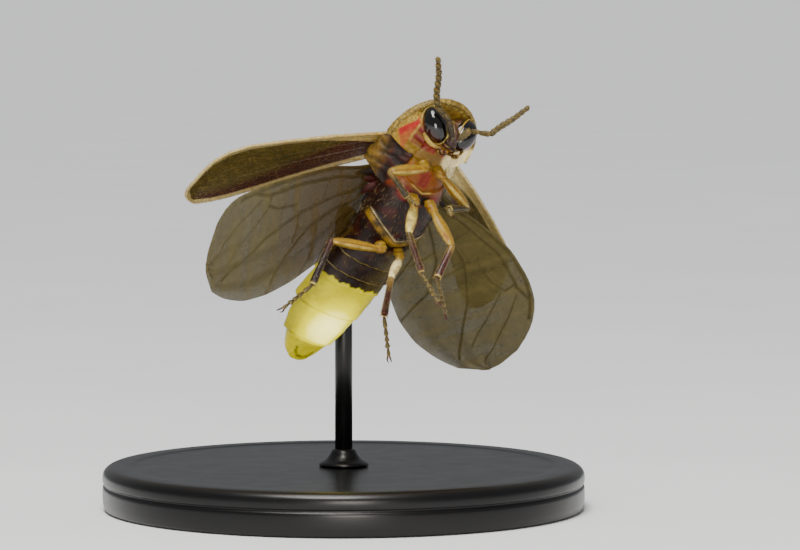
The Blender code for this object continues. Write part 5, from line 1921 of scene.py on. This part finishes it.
LEGS = (
    Leg("fore", Side.RIGHT, (0.40, 2.28, -1.12), ((0.93, -0.26, -0.25), 2.0),
        ((-0.78, -0.40, -0.47), 1.42), ((-0.10, 0.22, -0.97), 0.80),
        shin_low=Tone.OLIVE_DARK, coxa_radius=0.25, femur_radius=0.33),
    Leg("fore", Side.LEFT, (0.40, 2.28, -1.12), ((0.86, -0.37, -0.35), 2.05),
        ((-0.90, -0.06, -0.44), 1.40), ((-0.30, 0.15, -0.94), 0.85),
        shin_top=Tone.OLIVE, shin_low=Tone.OLIVE_DARK, coxa_radius=0.25, femur_radius=0.32),
    # The gold rims of this pale thigh are painted shade.
    Leg("mid", Side.RIGHT, (0.48, 0.95, -1.98), ((0.30, -0.31, -0.90), 2.1),
        ((-0.52, -0.56, -0.64), 1.8), ((-0.34, -0.22, -0.91), 1.6), femur_tone=Tone.PALE,
        rim_shading_tone=Tone.GOLD, shin_top=Tone.OLIVE, femur_radius=0.245),
    Leg("mid", Side.LEFT, (0.48, 0.95, -1.98), ((0.32, -0.22, -0.92), 2.1),
        ((-0.34, -0.61, -0.72), 1.8), ((0.55, -0.69, -0.47), 1.65), femur_radius=0.29),
    Leg("hind", Side.RIGHT, (0.50, -1.75, -2.02), ((0.99, -0.17, 0.0), 2.6),
        ((0.20, -0.76, -0.62), 2.25), ((0.62, -0.67, -0.41), 1.75), shin_top=Tone.MAROON,
        shin_low=Tone.UMBER, femur_radius=0.30),
    # The gold rims of this cream thigh are painted shade.
    Leg("hind", Side.LEFT, (0.50, -1.75, -2.02), ((-0.49, -0.11, -0.86), 2.3),
        ((0.44, -0.89, 0.08), 2.15), ((0.37, -0.69, -0.62), 1.8), femur_tone=Tone.CREAM,
        rim_shading_tone=Tone.GOLD, coxa_radius=0.24, femur_radius=0.215),
)
RIGHT_WING_FRONT = (
    (0.0, -0.35), (0.1, -0.60), (0.2, -0.95), (0.42, -1.22), (0.6, -1.42), (0.72, -1.52),
    (0.82, -1.58), (0.9, -1.32), (0.96, -0.60), (1.0, 0.10))
RIGHT_WING_REAR = (
    (0.0, 1.35), (0.035, 2.0), (0.10, 3.05), (0.16, 3.50), (0.28, 3.85), (0.45, 4.22), (0.6, 4.35),
    (0.74, 4.17), (0.86, 3.60), (0.94, 2.95), (1.0, 2.30))


def main() -> None:
    """Builds every sub-assembly in order."""
    logging.basicConfig(level=logging.INFO, format="%(name)s %(message)s")
    Studio().build()
    Trunk().build()
    Prothorax().build()
    Head().build()
    Antenna(Side.RIGHT, (0.61, 4.74, -0.91), (1.30, 4.98, -0.42), (2.68, 7.18, -0.46)).build()
    Antenna(Side.LEFT, (0.49, 4.69, -1.02), (1.07, 5.14, -1.62), (2.53, 6.64, -0.82)).build()
    for leg in LEGS:
        leg.build()
    WingCase(Side.RIGHT, 4.9).build()
    WingCase(Side.LEFT, 2.5).build()
    HindWing(Side.RIGHT, (0.806, -0.404, -0.434), (-0.455, -0.890, -0.017),
             Tone.SMOKE_BROWN, Tone.SMOKE, leading=RIGHT_WING_FRONT,
             trailing=RIGHT_WING_REAR).build()
    HindWing(Side.LEFT, (0.807, -0.555, -0.202), (-0.470, -0.810, 0.360),
             Tone.SMOKE, Tone.SMOKE).build()
    WingRoots().build()
    Stand().build()


if __name__ == "__main__":
    main()
